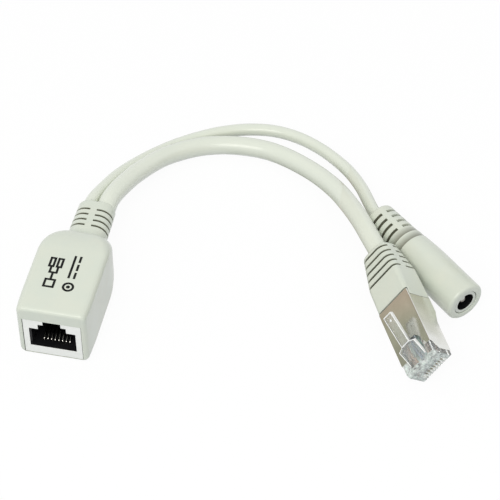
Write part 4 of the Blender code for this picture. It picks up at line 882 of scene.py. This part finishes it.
SOCKET_PLACE = Matrix.Translation(Vector((105.6, 12.7, 5.82)) * MM) @ Matrix.Rotation(math.radians(46.5), 4, "Z")
BARREL_RADIUS = 5.8 * MM
BARREL_EDGE = 0.9 * MM
BARREL_LENGTH = 39.0 * MM
BARREL_NECK = 5.05 * MM
BARREL_END = 4.6 * MM
BARREL_END_EDGE = 0.8 * MM
STEP_RISE = 0.16 * MM
STEP_FALL = 0.12 * MM            # each step falls over this length, between two short straights
STEP_STRAIGHT = 0.1 * MM
STEP_A, STEP_B = 26.0 * MM, 23.4 * MM
SHOULDER_Y = 19.0 * MM
SHOULDER_FALL = 0.12 * MM
LINER_RADIUS = 3.6 * MM
LINER_LENGTH = 13.0 * MM
HOLLOW_LENGTH = LINER_LENGTH + 2.4 * MM
HOLLOW_RADIUS = LINER_RADIUS + POCKET_GAP
HOLLOW_EDGE = 0.12 * MM
BARREL_LAST_SLOT = 36.1 * MM
BARREL_SLOT_PITCH = 2.36 * MM
BARREL_SLOTS = [BARREL_LAST_SLOT - row * BARREL_SLOT_PITCH for row in range(3, -1, -1)]
BARREL_SLOT_WIDTH = 0.9 * MM
BARREL_RIB = 1.75 * MM
BARREL_RIB_X = -0.43 * MM


def turned_form(name, profile, steps=72):
    """A form turned about the socket's own axis; the profile is pairs of a radius and a place along the axis."""
    circle = [(math.cos(math.tau * step / steps), math.sin(math.tau * step / steps)) for step in range(steps)]
    return extruded_form(name, [[(radius * x, y, radius * z) for x, z in circle] for radius, y in profile])


def neck_radius(y):
    """The neck's radius between the last step and the cable."""
    share = (y - STEP_A) / (BARREL_LENGTH - STEP_A)
    return BARREL_NECK * (1 - share) + BARREL_END * share


barrel = [(HOLLOW_RADIUS, HOLLOW_LENGTH), (HOLLOW_RADIUS, HOLLOW_EDGE),
          (HOLLOW_RADIUS + HOLLOW_EDGE / 3, HOLLOW_EDGE / 4), (HOLLOW_RADIUS + HOLLOW_EDGE, 0.0)]
barrel += [(BARREL_RADIUS - inward, along) for along, inward in rounding(BARREL_EDGE, 6)]
barrel += [(BARREL_RADIUS, y * MM) for y in (4, 8, 12, 15.2)]
barrel.append((BARREL_RADIUS - SHOULDER_FALL, SHOULDER_Y))
for y, radius, flare in ((STEP_B, BARREL_NECK + STEP_RISE, 0.02 * MM), (STEP_A, BARREL_NECK, 0.0)):
    barrel += [(radius + STEP_RISE + flare, y - STEP_STRAIGHT), (radius + STEP_RISE, y),
               (radius, y + STEP_FALL), (radius, y + STEP_FALL + STEP_STRAIGHT)]
for y in BARREL_SLOTS:
    barrel += [(neck_radius(y + side * BARREL_SLOT_WIDTH / 2), y + side * BARREL_SLOT_WIDTH / 2) for side in (-1, 1)]
barrel.append((neck_radius(BARREL_LENGTH - BARREL_END_EDGE), BARREL_LENGTH - BARREL_END_EDGE))
barrel += [(BARREL_END - along, BARREL_LENGTH - inward) for along, inward in rounding(BARREL_END_EDGE, 4)[1:]]
barrel_sleeve = turned_form("barrel_sleeve", barrel)


def barrel_painted_shade(place, floor):
    """Painted shade: full in the slots on the left, less in those on the right and a little at the foot of each step.
    """
    if floor:
        return 1.0 if place.x < BARREL_RIB_X else 0.2
    return 0.3 if any(0.1 * MM < place.y - step < 0.25 * MM for step in (STEP_A, STEP_B)) else 0.0


press_slots(barrel_sleeve, lambda centre, normal: in_rows(centre, normal, centre.x - BARREL_RIB_X, BARREL_RIB,
                                                          BARREL_SLOTS, BARREL_SLOT_WIDTH), SLOT_DEPTH, barrel_painted_shade)
soft_edges(barrel_sleeve, 0.07 * MM, sharp=40.0, smooth=50.0)
lay_down(barrel_sleeve, SOCKET_PLACE)
dress(barrel_sleeve, SLEEVE, "soft_pvc", "power_socket_body")


# Liner, pin and spring of the power socket
# A hard moulded liner, pale at its lip, holds the centre pin and the side spring; its bore is painted black, as shade.
# The liner and the pin are turned forms; the spring is the CAD's strip with its edges rounded.

LINER_FACE = 0.2 * MM
BORE_RADIUS = 2.7 * MM
BORE_DEPTH = 10.0 * MM
LIP = 0.15 * MM
AXLE_RADIUS = 0.35 * MM
liner_profile = [(AXLE_RADIUS, BORE_DEPTH), (BORE_RADIUS, BORE_DEPTH), (BORE_RADIUS, LINER_FACE + LIP),
                 (BORE_RADIUS + 0.3 * LIP, LINER_FACE + 0.3 * LIP), (BORE_RADIUS + LIP, LINER_FACE),
                 (LINER_RADIUS - LIP, LINER_FACE), (LINER_RADIUS - 0.3 * LIP, LINER_FACE + 0.3 * LIP),
                 (LINER_RADIUS, LINER_FACE + LIP), (LINER_RADIUS, LINER_LENGTH), (AXLE_RADIUS, LINER_LENGTH)]
liner = turned_form("barrel_liner", liner_profile, 64)
KEY_ANGLE = math.radians(117)
KEY_OUT = 2.62 * MM
KEY_RADIUS = 0.75 * MM
KEY_START, KEY_LENGTH = LINER_FACE + 0.05 * MM, 3.0 * MM
bpy.ops.mesh.primitive_cylinder_add(vertices=28, radius=KEY_RADIUS, depth=KEY_LENGTH, rotation=(math.pi / 2, 0.0, 0.0),
                                    location=(KEY_OUT * math.cos(KEY_ANGLE), KEY_START + KEY_LENGTH / 2,
                                              KEY_OUT * math.sin(KEY_ANGLE)))
combine(liner, settled(), "UNION")
soft_edges(liner, 0.03 * MM, sharp=50.0)
lay_down(liner, SOCKET_PLACE)
SOCKET_AXIS = SOCKET_PLACE.to_3x3() @ Vector((0.0, 1.0, 0.0))
BORE_LEVEL = SOCKET_AXIS.dot(SOCKET_PLACE.translation) + LINER_FACE + 0.12 * MM
# Behind its lip the liner's colour turns black: painted shade in the bore.
LINER_PLASTIC = paint_shade_behind(moulded_material("liner_plastic", (0.70, 0.73, 0.66), (0.66, 0.69, 0.61),
                                             patch=2 * MM, grain=0.2 * MM, gloss=(0.25, 0.35), bump=0.005 * MM),
                            SOCKET_AXIS, BORE_LEVEL, PAINTED_CAVITY_SHADE)
dress(liner, LINER_PLASTIC, "jack_plastic", "power_socket_insert")

PIN_RADIUS = 1.05 * MM
PIN_FRONT = 1.0 * MM
PIN_TIP = 0.7 * MM
PIN_TAIL = 15.5 * MM
TAIL_RADIUS, TAIL_LENGTH = PIN_RADIUS * 0.7, 1.9 * MM
pin_profile = [(PIN_RADIUS * (1 - inward), PIN_FRONT + PIN_TIP * along) for along, inward in rounding(1.0, 6)[1:]]
pin_profile += [(PIN_RADIUS, PIN_TAIL - TAIL_LENGTH - 0.1 * MM), (TAIL_RADIUS, PIN_TAIL - TAIL_LENGTH),
                (TAIL_RADIUS, PIN_TAIL)]
pin = turned_form("barrel_pin", pin_profile, 40)
soft_edges(pin, 0.05 * MM, sharp=40.0)
lay_down(pin, SOCKET_PLACE)
# The pin's and the spring's nickel is painted dark: painted shade deep in the bore.
SHADED_PIN_PLATE = plated_material("pin_plate_painted_shade", (0.36, 0.34, 0.32), (0.22, 0.20, 0.18), cloud=0.8 * MM, gloss=(0.18, 0.35))
dress(pin, SHADED_PIN_PLATE, "nickel_plate", "power_socket_pin")
spring = cad_form("power_socket_spring", "barrel_spring", 0.08 * MM)
dress(spring, SHADED_PIN_PLATE, "nickel_plate", "power_socket_spring")


# Cords: the two curves drawn above, under Cables
# Both leave the housing's neck; the data cable ends in its plug and the power cable in its barrel socket.
# The photograph shows each from end to end, so their lengths are the ones it shows.


# Studio
# A white floor, a white surround that is brighter on the left, and two soft lamps, as for a catalogue picture.
# Metal also sees dim cards beside, below, behind and above it, as the sides of the plug do in the photograph.

SURROUND_LEFT, SURROUND_RIGHT = 0.92, 0.60
FLOOR_WHITE, FLOOR_GREY = (0.98, 0.98, 0.98), (0.42, 0.44, 0.49)
FLOOR_GLOW = 0.94
LAMP_TARGET = (0.045, 0.02, 0.0)
OLIVE = (0.45, 0.45, 0.35)
ROSE_BROWN = (0.60, 0.49, 0.39)
PALE = (0.97, 0.98, 0.95)
BACK_OLIVE = (0.52, 0.53, 0.38)
RIDGE_BROWN = (0.30, 0.24, 0.18)
CARD_CLOUDS = 0.45               # how far the clouds dim a card, and to what share of its colour
CARD_AWAY = 25 * MM
bpy.context.scene.view_settings.view_transform = "Standard"


def seen_white(tree):
    """1 for the rays that show the surround itself: from the camera, off metal and through clear plastic."""
    rays = tree.nodes.new("ShaderNodeLightPath")
    seen = rays.outputs["Is Camera Ray"]
    for kind in ("Is Glossy Ray", "Is Transmission Ray"):
        either = tree.nodes.new("ShaderNodeMath")
        either.operation = "MAXIMUM"
        tree.links.new(seen, either.inputs[0])
        tree.links.new(rays.outputs[kind], either.inputs[1])
        seen = either.outputs["Value"]
    return seen


def axis_of(tree, output, axis):
    """One axis of a texture coordinate."""
    parts = tree.nodes.new("ShaderNodeSeparateXYZ")
    tree.links.new(tree.nodes.new("ShaderNodeTexCoord").outputs[output], parts.inputs["Vector"])
    return parts.outputs[axis]


world = bpy.data.worlds.new("studio")
bpy.context.scene.world = world
world.use_nodes = True
sky = world.node_tree
ambient = sky.nodes["Background"]
ambient.inputs["Color"].default_value = (0.975, 0.988, 1.0, 1.0)
sideways = remap(sky, axis_of(sky, "Generated", "X"), -1.0, 1.0, SURROUND_LEFT, SURROUND_RIGHT)
sky.links.new(remap(sky, seen_white(sky), 0.0, 1.0, sideways, 1.0), ambient.inputs["Strength"])

bpy.ops.mesh.primitive_plane_add(size=4.0, location=(0.04, 0.0, -0.02 * MM))
floor = bpy.context.object
floor.name = "studio_floor"
FLOOR, ground, ground_shader = new_material("studio_white")
ground_shader.inputs["Roughness"].default_value = 0.9
ground_shader.inputs["Specular IOR Level"].default_value = 0.1
ground_seen = seen_white(ground)
ground.links.new(blend_colours(ground, ground_seen, (*FLOOR_GREY, 1.0), (*FLOOR_WHITE, 1.0)),
                 ground_shader.inputs["Base Color"])
mixed = ground.nodes.new("ShaderNodeMixShader")
ground.links.new(remap(ground, ground_seen, 0.0, 1.0, 0.0, FLOOR_GLOW), mixed.inputs["Fac"])
ground.links.new(ground_shader.outputs["BSDF"], mixed.inputs[1])
ground.links.new(ground.nodes.new("ShaderNodeEmission").outputs["Emission"], mixed.inputs[2])
ground.links.new(mixed.outputs["Shader"], ground.nodes["Material Output"].inputs["Surface"])
floor.data.materials.append(FLOOR)


def soft_lamp(name, place, size, power, colour=(1.0, 1.0, 1.0)):
    """A square area lamp at a place in metres, aimed at the lead."""
    bpy.ops.object.light_add(type="AREA", location=place)
    lamp = bpy.context.object
    lamp.name = name
    lamp.data.size = size
    lamp.data.energy = power
    lamp.data.color = colour
    lamp.rotation_euler = (Vector(LAMP_TARGET) - Vector(place)).to_track_quat("-Z", "Y").to_euler()


soft_lamp("front_lamp", place=(0.02, -0.375, 0.44), size=0.3, power=1.2, colour=(1.0, 0.985, 0.93))
soft_lamp("side_lamp", place=(0.45, 0.30, 0.40), size=0.4, power=0.15)


def card(name, corners, colour, second, turn_at=0.0, turn_over=1.0, patch=7 * MM):
    """A card with these corners that only shining surfaces see; its colour turns along Y to a second."""
    bpy.ops.mesh.primitive_plane_add(size=1.0, location=(0.0, 0.0, 0.0))
    piece = bpy.context.object
    piece.name = name
    for vert, corner in zip(piece.data.vertices, corners):
        vert.co = corner
    material, tree, shader = new_material(name)
    shader.inputs["Base Color"].default_value = (0.0, 0.0, 0.0, 1.0)
    shader.inputs["Specular IOR Level"].default_value = 0.0
    shader.inputs["Emission Strength"].default_value = 1.0
    turn = remap(tree, axis_of(tree, "Object", "Y"), turn_at, turn_at + turn_over)
    tint = blend_colours(tree, turn, (*colour, 1.0), (*second, 1.0))
    clouds = noise_node(tree, tree.nodes["Texture Coordinate"].outputs["Object"], patch)
    dim = tuple(CARD_CLOUDS * level for level in colour)
    tree.links.new(blend_colours(tree, spread(tree, clouds, 0.0, CARD_CLOUDS), tint, (*dim, 1.0)),
                   shader.inputs["Emission Color"])
    piece.data.materials.append(material)
    piece.visible_camera = piece.visible_diffuse = piece.visible_shadow = piece.visible_transmission = False


card("warm_card", [(0.066, y, z) for z in (0.0, 0.05) for y in (-0.06, 0.06)], OLIVE, ROSE_BROWN, 0.0, 0.009)
card("low_card", [(x, y, 0.0003) for y in (-0.06, 0.06) for x in (0.03, 0.088)], OLIVE, OLIVE)
BACK_GLANCE = Vector((0.394, 0.916, 0.071))
card("side_card", [PLUG_PLACE @ (Vector((6.0, y, z)) * MM) + BACK_GLANCE * CARD_AWAY for z in (-6, 4.5)
                   for y in (24, 5)], PALE, BACK_OLIVE, 0.015, 0.015, 3 * MM)
RIDGE_GLANCE = Vector((-0.314, 0.483, 0.818))
ridge_along = PLUG_PLACE.to_3x3() @ Vector((0.0, 1.0, 0.0))
ridge_across = RIDGE_GLANCE.cross(ridge_along).normalized()
ridge_middle = PLUG_PLACE @ (Vector((6.0, 13.0, 3.55)) * MM) + RIDGE_GLANCE * CARD_AWAY
card("ridge_card", [ridge_middle + (side * 28 * ridge_across + end * 14 * ridge_along) * MM
                    for end in (-1, 1) for side in (-1, 1)], RIDGE_BROWN, RIDGE_BROWN)
